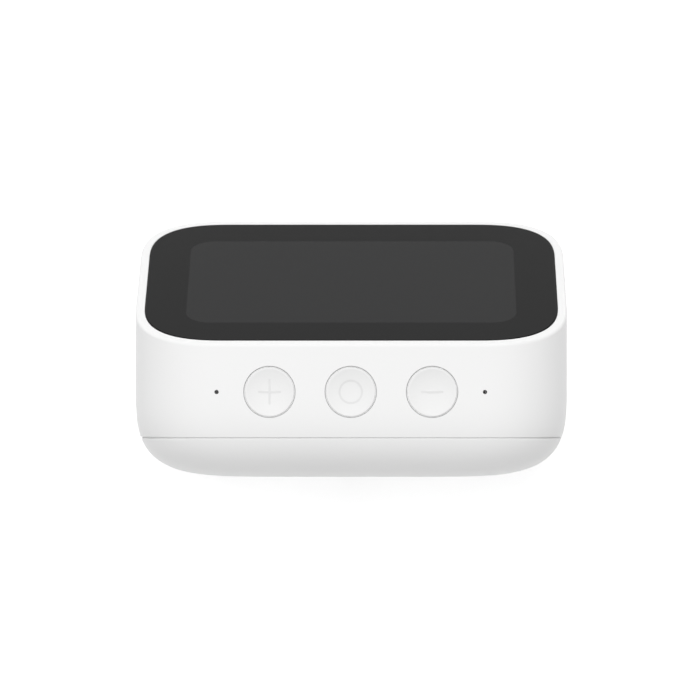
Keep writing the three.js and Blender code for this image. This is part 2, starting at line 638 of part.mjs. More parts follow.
function displayBracket() {
  let bracket = plate(bracketWidth, bracketHeight, POCKET_CORNER, -BRACKET_BACK, -BRACKET_AT);
  const postEnd = -BRACKET_BACK - POST_LENGTH;
  const posts = boardScrews.map(([x, y]) => rod(POST_RADIUS, postEnd, -BRACKET_BACK + 0.3, x, y));
  bracket = join(bracket, ...posts);
  const screwHoles = bracketScrews.map(([x, y]) => rod(SCREW_HOLE, -BRACKET_BACK - 1, -BRACKET_AT + 1, x, y));
  const postHoles = boardScrews.map(([x, y]) => {
    return rod(SCREW_HOLE, postEnd - 1, -BRACKET_BACK + 0.6, x, y);
  });
  const slotUp = SCREEN_LIFT - SCREEN_HEIGHT / 2 - BACKLIGHT_MARGIN - 0.8;
  const slotWidth = DISPLAY_FLEX_WIDTH + 6;
  const flexSlot = box(slotWidth, 3, -BRACKET_BACK - 1, -BRACKET_AT + 1, 0, slotUp);
  const windows = [-BRACKET_WINDOW_X, BRACKET_WINDOW_X].map((x) => {
    return plate(...BRACKET_WINDOW, -BRACKET_BACK - 1, -BRACKET_AT + 1).translate([x, 0, 0]);
  });
  return cut(bracket, ...screwHoles, ...postHoles, flexSlot, ...windows);
}

function mainBoard() {
  const board = plate(MAIN_BOARD_WIDTH, MAIN_BOARD_HEIGHT, 3, -MAIN_BOARD_BACK, -MAIN_BOARD_AT);
  const holes = boardScrews.map(([x, y]) => rod(SCREW_HOLE, -MAIN_BOARD_BACK - 1, -MAIN_BOARD_AT + 1, x, y));
  const [width, height, rise] = CONNECTOR;
  const connectors = [
    [-CONNECTOR_X, POWER_CONNECTOR_UP],
    [CONNECTOR_X, POWER_CONNECTOR_UP],
    [CONNECTOR_X, SPEAKER_CONNECTOR_UP],
  ].map(([x, y]) => box(width, height, -MAIN_BOARD_BACK - rise, -MAIN_BOARD_AT - 0.3, x, y));
  return cut(join(board, ...connectors), ...holes);
}

function addDisplay(parent) {
  const glassWidth = POCKET_WIDTH - 2 * GLASS_GAP;
  const glassHeight = POCKET_HEIGHT - 2 * GLASS_GAP;
  const glass = plate(glassWidth, glassHeight, POCKET_CORNER - GLASS_GAP, -GLASS_THICKNESS, 0);
  place(parent, 'cover_glass', glass, blackGlass);

  const tapeFrom = -TAPE_AT - TAPE_THICKNESS;
  const tapeInset = 0.9;
  const tapeOuter = plate(
    glassWidth - 2 * tapeInset, glassHeight - 2 * tapeInset, POCKET_CORNER - tapeInset, tapeFrom, -TAPE_AT,
  );
  place(parent, 'display_tape', cut(tapeOuter, ledgeWindow(0.3, tapeFrom - 1)), blackTape);

  const panelWidth = SCREEN_WIDTH + 2 * PANEL_MARGIN;
  const panelHeight = SCREEN_HEIGHT + 2 * PANEL_MARGIN;
  const panel = plate(panelWidth, panelHeight, 1, -PANEL_AT - PANEL_THICKNESS, -PANEL_AT, SCREEN_LIFT);
  place(parent, 'lcd_panel', panel, panelGlass);

  const trayWidth = SCREEN_WIDTH + 2 * BACKLIGHT_MARGIN;
  const trayHeight = SCREEN_HEIGHT + 2 * BACKLIGHT_MARGIN;
  const trayBack = -BACKLIGHT_AT - BACKLIGHT_THICKNESS;
  const tray = plate(trayWidth, trayHeight, 1.5, trayBack, -BACKLIGHT_AT, SCREEN_LIFT);
  place(parent, 'backlight_tray', tray, stampedSteel);

  place(parent, 'display_bracket', displayBracket(), darkSteel);
  bracketScrews.forEach(([x, y], i) => {
    const piece = place(parent, `bracket_screw_${i + 1}`, screw(3.6), screwSteel);
    piece.rotation.x = Math.PI;
    piece.position.set(x, y, -BRACKET_BACK - SCREW_CLEAR);
  });

  place(parent, 'main_board', mainBoard(), boardGreen);
  boardScrews.slice(0, 2).forEach(([x, y], i) => {
    const piece = place(parent, `board_screw_${i + 1}`, screw(3.4), screwSteel);
    piece.rotation.x = Math.PI;
    piece.position.set(x, y, -MAIN_BOARD_BACK - SCREW_CLEAR);
  });

  const canTo = -MAIN_BOARD_BACK - STACK_GAP;
  const canFrom = canTo - SHIELD_RISE;
  const can = plate(SHIELD_WIDTH, SHIELD_HEIGHT, 1, canFrom, canTo);
  const hollowWidth = SHIELD_WIDTH - 2 * SHIELD_WALL;
  const hollowHeight = SHIELD_HEIGHT - 2 * SHIELD_WALL;
  const canHollow = plate(hollowWidth, hollowHeight, 0.6, canFrom + SHIELD_WALL, canTo + 1);
  const shield = place(parent, 'shield_can', cut(can, canHollow), stampedSteel);
  shield.position.set(SHIELD_X, SHIELD_UP, 0);
  const chips = [['processor_chip', PROCESSOR, PROCESSOR_X], ['memory_chip', MEMORY, MEMORY_X]];
  for (const [name, [width, height, rise], x] of chips) {
    const chip = place(parent, name, box(width, height, canTo - rise, canTo), chipBlack);
    chip.position.set(x, SHIELD_UP, 0);
  }

  addDisplayFlex(parent);
}

// The flat cable from the panel's lower edge, through the bracket, to the front of the main board.
function addDisplayFlex(parent) {
  const panelEdge = SCREEN_LIFT - SCREEN_HEIGHT / 2 - PANEL_MARGIN;
  const trayEdge = SCREEN_LIFT - SCREEN_HEIGHT / 2 - BACKLIGHT_MARGIN;
  const bendDepth = MAIN_BOARD_AT - 0.5;
  const line = [
    [PANEL_AT + 0.6, panelEdge - 0.3],
    [PANEL_AT + 0.6, trayEdge - 0.3],
    [PANEL_AT + 1.1, trayEdge - 0.8],
    [bendDepth - 1.2, trayEdge - 0.8],
    [bendDepth, trayEdge + 0.4],
    [bendDepth, -MAIN_BOARD_HEIGHT / 2 + 3],
  ].map(([depth, up]) => new THREE.Vector2(depth, up));
  const strip = ribbon(line, FLEX_THICKNESS, DISPLAY_FLEX_WIDTH);
  place(parent, 'display_flex', solid(strip.rotateY(Math.PI / 2)), amberFilm);
}

// ---- Buttons, switches and microphones --------------------------------------------------------

function buttonCap() {
  const profile = [
    [0, STEM_BOTTOM], [STEM_RADIUS, STEM_BOTTOM], [STEM_RADIUS, FLANGE_BOTTOM],
    [FLANGE_RADIUS, FLANGE_BOTTOM], [FLANGE_RADIUS, FLANGE_TOP], [BUTTON_RADIUS, FLANGE_TOP],
    [BUTTON_RADIUS, TOP_Z - 0.25], [BUTTON_RADIUS - 0.25, TOP_Z],
  ];
  const dishRadius = BUTTON_RADIUS - 0.5;
  const dishRings = 3;
  for (let k = dishRings; k >= 0; k--) {
    const share = k / dishRings;
    profile.push([dishRadius * share, TOP_Z - BUTTON_DISH * (1 - share ** 2)]);
  }
  return turned(profile);
}

function addButtons(parent) {
  const boardLength = 2 * (BOARD_POST_X + BOARD_POST_RADIUS + 1);
  const board = box(boardLength, BUTTON_BOARD_WIDTH, BUTTON_BOARD_BOTTOM, BUTTON_BOARD_TOP);
  const holes = [-BOARD_POST_X, BOARD_POST_X].map((x) => {
    return rod(SCREW_HOLE, BUTTON_BOARD_BOTTOM - 1, BUTTON_BOARD_TOP + 1, x, 0);
  });
  const buttonBoard = place(parent, 'button_board', cut(board, ...holes), boardGreen);
  buttonBoard.position.y = BUTTON_BACK;

  for (const [name, x] of buttonRow) {
    const cap = place(parent, `${name}_button`, buttonCap(), buttonPlastic);
    cap.position.set(x, BUTTON_BACK, 0);

    const plungerBottom = SWITCH_TOP - PLUNGER_DEPTH;
    const plungerSolid = turned(disc(PLUNGER_RADIUS, plungerBottom, PLUNGER_TOP));
    const plunger = place(parent, `${name}_plunger`, plungerSolid, blackPlastic);
    plunger.position.set(x, BUTTON_BACK, 0);

    const casing = box(SWITCH_WIDTH, SWITCH_WIDTH, SWITCH_TOP - SWITCH_HEIGHT, SWITCH_TOP);
    const wellFloor = plungerBottom - BUTTON_TRAVEL - GAP;
    const well = rod(PLUNGER_RADIUS + GAP, wellFloor, SWITCH_TOP + 1, 0, 0, ROUND_SIDES);
    const body = place(parent, `${name}_switch`, cut(casing, well), stampedSteel);
    body.position.set(x, BUTTON_BACK, 0);
  }

  [['left', -1], ['right', 1]].forEach(([side, sign]) => {
    const micTop = BUTTON_BOARD_TOP + STACK_GAP + MIC_HEIGHT;
    const mic = cut(
      box(...MIC_BODY, BUTTON_BOARD_TOP + STACK_GAP, micTop),
      rod(MIC_PORT, micTop - 0.5, micTop + 1),
    );
    place(parent, `microphone_${side}`, mic, stampedSteel).position.set(sign * MIC_X, BUTTON_BACK, 0);

    const boot = turned(ring(MIC_RADIUS + 0.25, BOOT_RADIUS, micTop + STACK_GAP, ROOF_Z - 0.5), SMALL_SIDES);
    place(parent, `mic_boot_${side}`, boot, blackRubber).position.set(sign * MIC_X, BUTTON_BACK, 0);

    const boardScrew = place(parent, `button_board_screw_${side}`, screw(5), screwSteel);
    boardScrew.rotation.x = Math.PI;
    boardScrew.position.set(sign * BOARD_POST_X, BUTTON_BACK, BUTTON_BOARD_BOTTOM - SCREW_CLEAR);
  });

  addButtonFlex(parent);
}

// The flat cable from under the button board to the back of the main board's upper edge.
function addButtonFlex(parent) {
  const under = BUTTON_BOARD_BOTTOM - 0.35;
  const edge = facePoint(MAIN_BOARD_HEIGHT / 2 + 1, MAIN_BOARD_BACK + 0.6);
  const end = facePoint(MAIN_BOARD_HEIGHT / 2 - 4, MAIN_BOARD_BACK + 0.6);
  const line = [
    [BUTTON_BACK - 2, under],
    [BUTTON_BACK - 7, under],
    [edge.y, edge.z],
    [end.y, end.z],
  ].map(([y, z]) => new THREE.Vector2(y, z));
  const strip = ribbon(line, FLEX_THICKNESS, BUTTON_FLEX_WIDTH);
  strip.rotateX(Math.PI / 2).rotateZ(Math.PI / 2).translate(BUTTON_FLEX_X, 0, 0);
  place(parent, 'button_flex', solid(strip), amberFilm);
}

// ---- Loudspeaker ------------------------------------------------------------------------------

const boxDepthAtFace = (MAIN_BOARD_BACK + BOX_TO_BOARD) / Math.cos(FACE_TILT);

// The box's front wall is parallel to the face; this gives its place at a height.
function boxFront(z, extra) {
  return FACE_Y + (z - MID_Z) * Math.tan(FACE_TILT) + boxDepthAtFace + extra / Math.cos(FACE_TILT);
}

function boxProfile(inset, back) {
  const low = SPEAKER_FLOOR + inset;
  const high = SPEAKER_FLOOR + BOX_HEIGHT - inset;
  const halfWidth = BOX_HALF_WIDTH - inset;
  const points = [
    [boxFront(low, inset), low],
    [back, low],
    [back, high],
    [boxFront(high, inset), high],
  ].map(([y, z]) => new THREE.Vector2(y, z));
  const geometry = slabOf(points, -halfWidth, halfWidth);
  return solid(geometry.rotateX(Math.PI / 2).rotateZ(Math.PI / 2));
}

function speakerBasket() {
  const seatInner = CUP_OUTER + GAP;
  const seatBack = BASKET_SEAT + BASKET_SKIN;
  const throatInner = THROAT_RADIUS - BASKET_SKIN;
  const basket = turnedBack([
    [seatInner, BASKET_SEAT], [CUP_OUTER + 2.6, BASKET_SEAT], [THROAT_RADIUS, BAFFLE_FRONT - 1],
    [THROAT_RADIUS, BAFFLE_BACK + STACK_GAP], [SPEAKER_RADIUS, BAFFLE_BACK + STACK_GAP],
    [SPEAKER_RADIUS, FLANGE_BACK], [throatInner, FLANGE_BACK], [throatInner, BAFFLE_FRONT - 1],
    [CUP_OUTER + 2.4, seatBack], [seatInner, seatBack], [seatInner, BASKET_SEAT],
  ]);
  const windows = [0, 1, 2, 3].map((quarter) => {
    const window = new THREE.BoxGeometry(7, 4, REACH / 8).translate(0, 0, REACH / 16);
    window.rotateY((quarter * Math.PI) / 2 + Math.PI / 4);
    return solid(window.translate(0, BASKET_SEAT + 4.6, SPEAKER_Z));
  });
  return cut(basket, ...windows);
}

function addSpeaker(parent) {
  const boxBack = BAFFLE_FRONT - STACK_GAP;
  const hollow = boxProfile(BOX_WALL, boxBack + 5);
  place(parent, 'speaker_box', cut(boxProfile(0, boxBack), hollow), blackPlastic);

  const baffleWidth = 2 * (BOX_HALF_WIDTH + BAFFLE_EAR);
  let baffle = plate(baffleWidth, BOX_HEIGHT, 6, -BAFFLE_BACK, -BAFFLE_FRONT);
  const bore = rod(THROAT_RADIUS + GAP, -BAFFLE_BACK - 1, -BAFFLE_FRONT + 1, 0, 0, ROUND_SIDES);
  const earHoles = speakerScrews.map(([x]) => {
    return rod(SCREW_HOLE, -BAFFLE_BACK - 1, -BAFFLE_FRONT + 1, x, 0);
  });
  baffle = geometryOf(cut(baffle, bore, ...earHoles)).rotateX(Math.PI / 2).translate(0, 0, SPEAKER_Z);
  place(parent, 'speaker_baffle', solid(baffle), blackPlastic);
  speakerScrews.forEach(([x, z], i) => {
    const piece = place(parent, `speaker_screw_${i + 1}`, screw(4.4), screwSteel);
    piece.rotation.x = Math.PI / 2;
    piece.position.set(x, BAFFLE_FRONT - SCREW_CLEAR, z);
  });

  const gasketFront = GASKET_BACK - GASKET_THICKNESS;
  const gasket = ring(THROAT_RADIUS + 0.6, SPEAKER_RADIUS - 0.3, gasketFront, GASKET_BACK);
  place(parent, 'speaker_gasket', turnedBack(gasket), blackRubber);
  place(parent, 'speaker_basket', speakerBasket(), blackPlastic);
  const cloth = disc(THROAT_RADIUS + 0.3, CLOTH_BACK - CLOTH_THICKNESS, CLOTH_BACK);
  place(parent, 'grille_cloth', turnedBack(cloth), clothBlack);

  addMotor(parent);
}

// The magnet system and the moving cone. The cup's rim is level with the basket's seat plus its lip.
function addMotor(parent) {
  const cupRim = BASKET_SEAT + SEAT_LIP;
  const cupBase = cupRim - CUP_HEIGHT;
  const cupFloor = cupBase + CUP_FLOOR;
  place(parent, 'speaker_yoke', turnedBack([
    [0, cupBase], [CUP_OUTER, cupBase], [CUP_OUTER, cupRim], [CUP_INNER, cupRim],
    [CUP_INNER, cupFloor], [0, cupFloor],
  ]), darkSteel);

  const magnetFrom = cupFloor + STACK_GAP;
  const coreRadius = COIL_RADIUS - COIL_WALL - AIR_GAP;
  const magnet = disc(coreRadius - 0.3, magnetFrom, magnetFrom + MAGNET_HEIGHT);
  place(parent, 'speaker_magnet', turnedBack(magnet), stampedSteel);
  const plateFrom = magnetFrom + MAGNET_HEIGHT + STACK_GAP;
  place(parent, 'speaker_top_plate', turnedBack(disc(coreRadius, plateFrom, cupRim)), darkSteel);

  const coilFrom = magnetFrom + SPEAKER_TRAVEL + 1;
  const coilTo = cupRim + COIL_RISE;
  const coilInner = COIL_RADIUS - COIL_WALL;
  place(parent, 'voice_coil', turnedBack(ring(coilInner, COIL_RADIUS, coilFrom, coilTo)), copperWire);

  const coneEdge = THROAT_RADIUS - CONE_STEP;
  const coneBack = FLANGE_BACK - CONE_SINK;
  const coneFoot = coilTo + 0.1;
  place(parent, 'speaker_cone', turnedBack([
    [coilInner, coneFoot], [COIL_RADIUS, coneFoot], [coneEdge, coneBack - CONE_SKIN],
    [coneEdge, coneBack], [coilInner, coneFoot + CONE_SKIN + 0.3], [coilInner, coneFoot],
  ]), conePaper);

  const capRadius = coilInner - 0.15;
  const dome = (share, lift) => [
    capRadius * share, coneFoot + 0.3 + lift + CAP_RISE * (1 - share ** 2),
  ];
  const capUnder = [0, 0.5, 1].map((share) => dome(share, 0));
  const capOver = [1, 0.5, 0].map((share) => dome(share, CAP_SKIN));
  place(parent, 'dust_cap', turnedBack([...capUnder, ...capOver]), conePaper);

  const rollInner = coneEdge + 0.3;
  const rollOuter = THROAT_RADIUS - 1.2;
  const rollMiddle = (rollInner + rollOuter) / 2;
  const rollHeight = (rollOuter - rollInner) / 2;
  const rollSteps = 4;
  const arc = (height) => Array.from({ length: rollSteps + 1 }, (_, k) => {
    const angle = (k * Math.PI) / rollSteps;
    return [rollMiddle + height * Math.cos(angle), coneBack - 0.6 + height * Math.sin(angle)];
  });
  const outside = arc(rollHeight);
  const inside = arc(rollHeight - CONE_SKIN).reverse();
  place(parent, 'speaker_surround', turnedBack([...outside, ...inside, outside[0]]), blackRubber);

  const spiderFrom = cupRim + 1.2;
  const spider = ring(COIL_RADIUS + 0.4, CUP_OUTER + 0.6, spiderFrom, spiderFrom + 0.35);
  place(parent, 'speaker_spider', turnedBack(spider), amberFilm);
}

// ---- Power inlet, antenna and leads -----------------------------------------------------------

function addPower(parent) {
  const board = powerBoardBox(0);
  place(parent, 'power_board', board, boardGreen);

  // The socket's shell is open at its mouth, towards the rear.
  const shellFront = SOCKET_BACK - SOCKET_LENGTH;
  const shell = inletBar(SOCKET_WIDTH, SOCKET_TALL, shellFront, SOCKET_BACK);
  const hollowWidth = SOCKET_WIDTH - 2 * SOCKET_WALL;
  const hollowTall = SOCKET_TALL - 2 * SOCKET_WALL;
  const bore = inletBar(hollowWidth, hollowTall, shellFront + SOCKET_WALL, SOCKET_BACK + 1);
  place(parent, 'usb_socket', cut(shell, bore), stampedSteel);
  const [tongueWidth, tongueThickness] = TONGUE;
  const tongue = new THREE.BoxGeometry(tongueWidth, SOCKET_LENGTH - 1.6, tongueThickness);
  tongue.translate(0, SOCKET_BACK - SOCKET_LENGTH / 2 - SOCKET_WALL, PORT_HEIGHT);
  place(parent, 'usb_tongue', solid(tongue), blackPlastic);

  // The antenna film lies on the flat stretch of the side wall, ahead of the rear rounding.
  const antenna = new THREE.BoxGeometry(ANTENNA_THICKNESS, ANTENNA_LENGTH, ANTENNA_HEIGHT);
  const antennaX = BODY_WIDTH / 2 - WALL - GAP - ANTENNA_THICKNESS / 2;
  const antennaY = REAR_Y - REAR_ROUND_Y - GAP - ANTENNA_LENGTH / 2;
  place(parent, 'wifi_antenna', solid(antenna.translate(-antennaX, antennaY, MID_Z)), amberFilm);

  const powerEnd = facePoint(POWER_CONNECTOR_UP, MAIN_BOARD_BACK + LEAD_LIFT);
  const boardFront = POWER_BOARD_BACK - POWER_BOARD_LENGTH;
  const lugFront = LUG_BACK - LUG_WIDTH / 2;
  const powerLead = wire([
    [10, boardFront + 3, POWER_BOARD_TOP + POWER_LEAD + GAP],
    [LUG_X - LUG_WIDTH, boardFront + 1, lugFloor + LUG_HEIGHT - 0.1],
    [BOX_HALF_WIDTH + 4, lugFront - 3, SPEAKER_FLOOR - 0.5],
    [CONNECTOR_X, powerEnd.y, powerEnd.z],
  ], POWER_LEAD, 16);
  place(parent, 'power_lead', powerLead, blackPlastic);

  const speakerEnd = facePoint(SPEAKER_CONNECTOR_UP, MAIN_BOARD_BACK + LEAD_LIFT);
  const speakerLead = wire([
    [BOX_HALF_WIDTH + 1.1, BAFFLE_FRONT - 6, SPEAKER_Z + 6],
    [BOX_HALF_WIDTH + 2.4, BAFFLE_FRONT - 9, SPEAKER_Z + 7],
    [CONNECTOR_X, speakerEnd.y + 5, speakerEnd.z + 1],
    [CONNECTOR_X, speakerEnd.y, speakerEnd.z],
  ], SPEAKER_LEAD, 14);
  place(parent, 'speaker_lead', speakerLead, redSleeve);
}

// ---- Assembly ---------------------------------------------------------------------------------

const smartSpeaker = new THREE.Group();
addHousing(smartSpeaker);

const face = new THREE.Group();
face.rotation.x = faceTurn;
face.position.set(0, FACE_Y, MID_Z);
smartSpeaker.add(face);
addDisplay(face);

addButtons(smartSpeaker);
addSpeaker(smartSpeaker);
addPower(smartSpeaker);

export default smartSpeaker;
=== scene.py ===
# %% [markdown]
# # A bedside smart speaker
#
# The object is a white loaf-shaped housing with a tilted touch display in front, three dished
# push buttons and two microphone holes on top, and a small loudspeaker behind a perforated rear.
# The CAD model is loaded first and isn't moved. It says where every piece sits and what moves.
# The outside pieces are then made again as fine meshes over it, and every piece gets a finish.

# %% Load the fixed frame
import json
import math

import bmesh
import bpy
from mathutils import Matrix, Vector


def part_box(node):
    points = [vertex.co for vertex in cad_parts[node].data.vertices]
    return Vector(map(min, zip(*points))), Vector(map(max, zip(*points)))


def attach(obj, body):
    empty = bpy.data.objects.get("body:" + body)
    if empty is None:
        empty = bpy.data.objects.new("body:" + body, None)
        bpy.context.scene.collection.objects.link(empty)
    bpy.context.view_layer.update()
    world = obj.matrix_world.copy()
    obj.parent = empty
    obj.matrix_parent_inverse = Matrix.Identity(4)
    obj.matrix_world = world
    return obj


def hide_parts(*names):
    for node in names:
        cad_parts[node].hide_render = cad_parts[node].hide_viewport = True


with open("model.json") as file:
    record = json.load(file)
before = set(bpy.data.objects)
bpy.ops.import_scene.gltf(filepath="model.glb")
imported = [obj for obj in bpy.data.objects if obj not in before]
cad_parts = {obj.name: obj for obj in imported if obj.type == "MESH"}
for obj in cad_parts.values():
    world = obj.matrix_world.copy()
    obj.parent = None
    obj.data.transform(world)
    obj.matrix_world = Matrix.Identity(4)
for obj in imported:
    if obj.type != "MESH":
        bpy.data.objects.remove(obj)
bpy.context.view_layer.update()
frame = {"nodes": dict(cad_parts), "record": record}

nodes = frame["nodes"]

# %% [markdown]
# ## Sizes
#
# Millimetres are easier to think in than metres for a thing this small, so every shape is worked
# out in millimetres and scaled once, when its mesh is handed to an object. The overall sizes come
# from the frame. Only what a box can't tell, such as a corner's fullness, is a named value here.

# %% Sizes of the body
MM = 0.001


def cad_box(name):
    """A CAD node's lowest and highest corners, in millimetres."""
    low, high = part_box(name)
    return low / MM, high / MM


def middle_of(name):
    low, high = cad_box(name)
    return (low + high) / 2


shell_low, shell_high = cad_box("main_shell")
BODY_WIDTH = shell_high.x - shell_low.x
BODY_FLOOR = shell_low.z
BODY_HEIGHT = shell_high.z - shell_low.z
TOP = shell_high.z
MIDDLE = (shell_low.z + shell_high.z) / 2
FRONT = shell_low.y
REAR = cad_box("rear_cover")[1].y
FACE_TILT = math.radians(25.19)
FACE_CORNER = 24.5
CORNER_POWER = 2.69
REAR_POWER = 3.75
REAR_REACH = Vector((35.3, 25.3, 26.0))
WALL = 2.2
RIM = 2.35
SEAM_GAP = 0.3
SEAM = shell_high.y + SEAM_GAP / 2
FACE_HEIGHT = BODY_HEIGHT / math.cos(FACE_TILT)
FACE_CENTRE = Vector((0, FRONT + BODY_HEIGHT / 2 * math.tan(FACE_TILT), MIDDLE))
FACE_UP = Vector((0, math.sin(FACE_TILT), math.cos(FACE_TILT)))
FACE_OUT = Vector((0, -math.cos(FACE_TILT), math.sin(FACE_TILT)))
print(f"body {BODY_WIDTH:.1f} x {REAR - FRONT:.1f} x {BODY_HEIGHT:.1f} mm, seam at y {SEAM:.1f}")

# %% [markdown]
# ## Camera
#
# The view is from straight above and far away, with the object's front towards the top of the
# picture. A long lens at about one and a half metres keeps the sides almost upright. The camera
# could be tilted to reframe, but then the round buttons would turn into ovals, so it looks down.

# %% Camera
CAMERA_PLACE = Vector((-10.35, 0.885, 1548.1))
CAMERA_AIM = Vector((0.45, 0.885, MIDDLE))
SENSOR = 36.0
FOCAL_LENGTH = 293.7

camera_data = bpy.data.cameras.new("camera")
camera_data.sensor_width = SENSOR
camera_data.lens = FOCAL_LENGTH
camera_data.clip_end = 20
camera = bpy.data.objects.new("camera", camera_data)
bpy.context.scene.collection.objects.link(camera)
backwards = (CAMERA_PLACE - CAMERA_AIM).normalized()
rightwards = Vector((0, -1, 0)).cross(backwards).normalized()
upwards = backwards.cross(rightwards)
turn = Matrix((rightwards, upwards, backwards)).transposed().to_4x4()
camera.matrix_world = Matrix.Translation(CAMERA_PLACE * MM) @ turn
bpy.context.scene.camera = camera
print("camera height", round(CAMERA_PLACE.z), "mm, lens", FOCAL_LENGTH)

# %% [markdown]
# ## Light and floor
#
# The object stands on a white sweep under one very large soft light, with a second soft light
# from the front, so the face's rim is the brightest edge and the rear falls off gently. Small
# lights would be simpler, but they would put hard spots in the dished buttons and on the glass.

# %% Light and floor
LIGHT_KINDS = (
    # name, place in metres, size in metres, power in watts
    ("overhead_softbox", (0.08, -0.15, 1.9), 2.2, 34.5),
    ("front_softbox", (0.1, -1.6, 1.3), 1.4, 12.9),
)
WORLD_STRENGTH = 0.22
FLOOR_SIZE = 8.0
FLOOR_GLOW = 0.31

for light_name, place, size, power in LIGHT_KINDS:
    light_data = bpy.data.lights.new(light_name, "AREA")
    light_data.size = size
    light_data.energy = power
    light = bpy.data.objects.new(light_name, light_data)
    bpy.context.scene.collection.objects.link(light)
    light.location = place
    light.rotation_euler = (Vector((0, 0, 0.03)) - light.location).to_track_quat("-Z", "Y").to_euler()

world = bpy.data.worlds.new("studio")
world.use_nodes = True
world.node_tree.nodes["Background"].inputs["Color"].default_value = (1, 1, 1, 1)
world.node_tree.nodes["Background"].inputs["Strength"].default_value = WORLD_STRENGTH
bpy.context.scene.world = world
bpy.context.scene.view_settings.view_transform = "Standard"

floor_mesh = bmesh.new()
bmesh.ops.create_grid(floor_mesh, x_segments=1, y_segments=1, size=FLOOR_SIZE / 2)
floor_data = bpy.data.meshes.new("floor")
floor_mesh.to_mesh(floor_data)
floor_mesh.free()
floor = bpy.data.objects.new("floor", floor_data)
bpy.context.scene.collection.objects.link(floor)
print("lights", [kind[0] for kind in LIGHT_KINDS])

# %% [markdown]
# ## Writing shader maths as Python
#
# A finish is a small program of nodes. Placing each Math node by hand hides what it works out, so
# a socket is wrapped in a class whose operators add the node: `1 - mask * 0.5` reads as it is. The
# other nodes all come from one method, which is given a type, its settings and its inputs.

# %% A wrapped socket and a finish


class Wire:
    """One output socket, with the arithmetic that these finishes use."""

    def __init__(self, finish, socket):
        self.finish = finish
        self.socket = socket

    def maths(self, operation, *others):
        """A Math node whose first value is this one."""
        return self.finish.add("ShaderNodeMath", {"operation": operation}, self, *others)

    def __add__(self, other):
        return self.maths("ADD", other)

    __radd__ = __add__

    def __sub__(self, other):
        return self.maths("SUBTRACT", other)

    def __rsub__(self, other):
        return self.finish.add("ShaderNodeMath", {"operation": "SUBTRACT"}, other, self)

    def __mul__(self, other):
        return self.maths("MULTIPLY", other)

    __rmul__ = __mul__

    def __abs__(self):
        return self.maths("ABSOLUTE")

    def most(self, other):
        return self.maths("MAXIMUM", other)

    def wave(self, pitch, operation="SINE"):
        """A wave between -1 and 1 that repeats every pitch."""
        return (self * (2 * math.pi / pitch)).maths(operation)

    def ramp(self, low, high):
        """0 below low, 1 above high, and smooth between them."""
        settings = {"interpolation_type": "SMOOTHSTEP"}
        return self.finish.add("ShaderNodeMapRange", settings, self, low, high, 0.0, 1.0)


class Finish:
    """A material with one Principled shader, whose constants are set on the shader's own sockets."""

    def __init__(self, name, **constants):
        self.material = bpy.data.materials.new(name)
        self.material.use_nodes = True
        self.tree = self.material.node_tree
        self.shader = self.tree.nodes["Principled BSDF"]
        for socket, value in constants.items():
            self.shader.inputs[socket.replace("_", " ")].default_value = value

    def add(self, kind, settings, *values, output=0, **named):
        node = self.tree.nodes.new(kind)
        for key, value in settings.items():
            setattr(node, key, value)
        for key, value in [*enumerate(values), *named.items()]:
            socket = node.inputs[key.replace("_", " ") if isinstance(key, str) else key]
            if isinstance(value, Wire):
                self.tree.links.new(value.socket, socket)
            else:
                socket.default_value = value
        return Wire(self, node.outputs[output])

    def place(self):
        """Object coordinates, in millimetres."""
        point = self.add("ShaderNodeTexCoord", {}, output="Object")
        return self.add("ShaderNodeVectorMath", {"operation": "SCALE"}, point, Scale=1 / MM)

    def parts(self, point):
        """A point's three coordinates."""
        node = self.add("ShaderNodeSeparateXYZ", {}, point).socket.node
        return [Wire(self, socket) for socket in node.outputs]

    def noise(self, point, size, detail=2.0, roughness=0.5):
        settings = {"noise_dimensions": "3D"}
        values = {"Vector": point, "Scale": 1 / size, "Detail": detail, "Roughness": roughness}
        return self.add("ShaderNodeTexNoise", settings, output="Fac", **values)

    def blend(self, share, first, second):
        """A colour between two colours."""
        settings = {"data_type": "RGBA"}
        node = self.add("ShaderNodeMix", settings, output="Result").socket.node
        for index, value in ((0, share), (6, first), (7, second)):
            if isinstance(value, Wire):
                self.tree.links.new(value.socket, node.inputs[index])
            else:
                node.inputs[index].default_value = value
        return Wire(self, node.outputs[2])

    def paint(self, share, first, second):
        self.feed(Base_Color=self.blend(share, first, second))

    def feed(self, **sockets):
        for name, wire in sockets.items():
            self.tree.links.new(wire.socket, self.shader.inputs[name.replace("_", " ")])

    def relief(self, height, strength, distance):
        """A bump that rises by a distance in millimetres."""
        values = {"Strength": strength, "Distance": distance * MM, "Height": height}
        self.feed(Normal=self.add("ShaderNodeBump", {}, output="Normal", **values))


def grey(value):
    return (value, value, value, 1.0)


print("socket and finish classes ready")

# %% [markdown]
# ## White moulded plastic
#
# The housing is satin ABS. The mould's surface is sparked, which leaves a fine even grain, too
# small to see as bumps but enough to soften every highlight. A flat white would look like paper,
# so the grain goes into the bump and the roughness, and a slow drift keeps large faces alive.

# %% White plastics


def moulded_white(name, tone, grain, gloss):
    finish = Finish(name, Specular_IOR_Level=0.22)
    point = finish.place()
    fine = finish.noise(point, grain, detail=3.0, roughness=0.6)
    drift = finish.noise(point, 28.0, detail=1.0)
    share = fine * 0.35 + drift * 0.65
    darker = (tone * 0.975, tone * 0.975, tone * 0.972, 1.0)
    finish.paint(share, darker, grey(tone))
    finish.feed(Roughness=gloss + (fine - 0.5) * 0.16 + (drift - 0.5) * 0.05)
    finish.relief(fine, 0.5, 0.012)
    return finish.material


white_shell = moulded_white("white_shell", tone=0.83, grain=0.35, gloss=0.46)
white_button = moulded_white("white_button", tone=0.80, grain=0.25, gloss=0.40)
print("white plastics", white_shell.name, white_button.name)

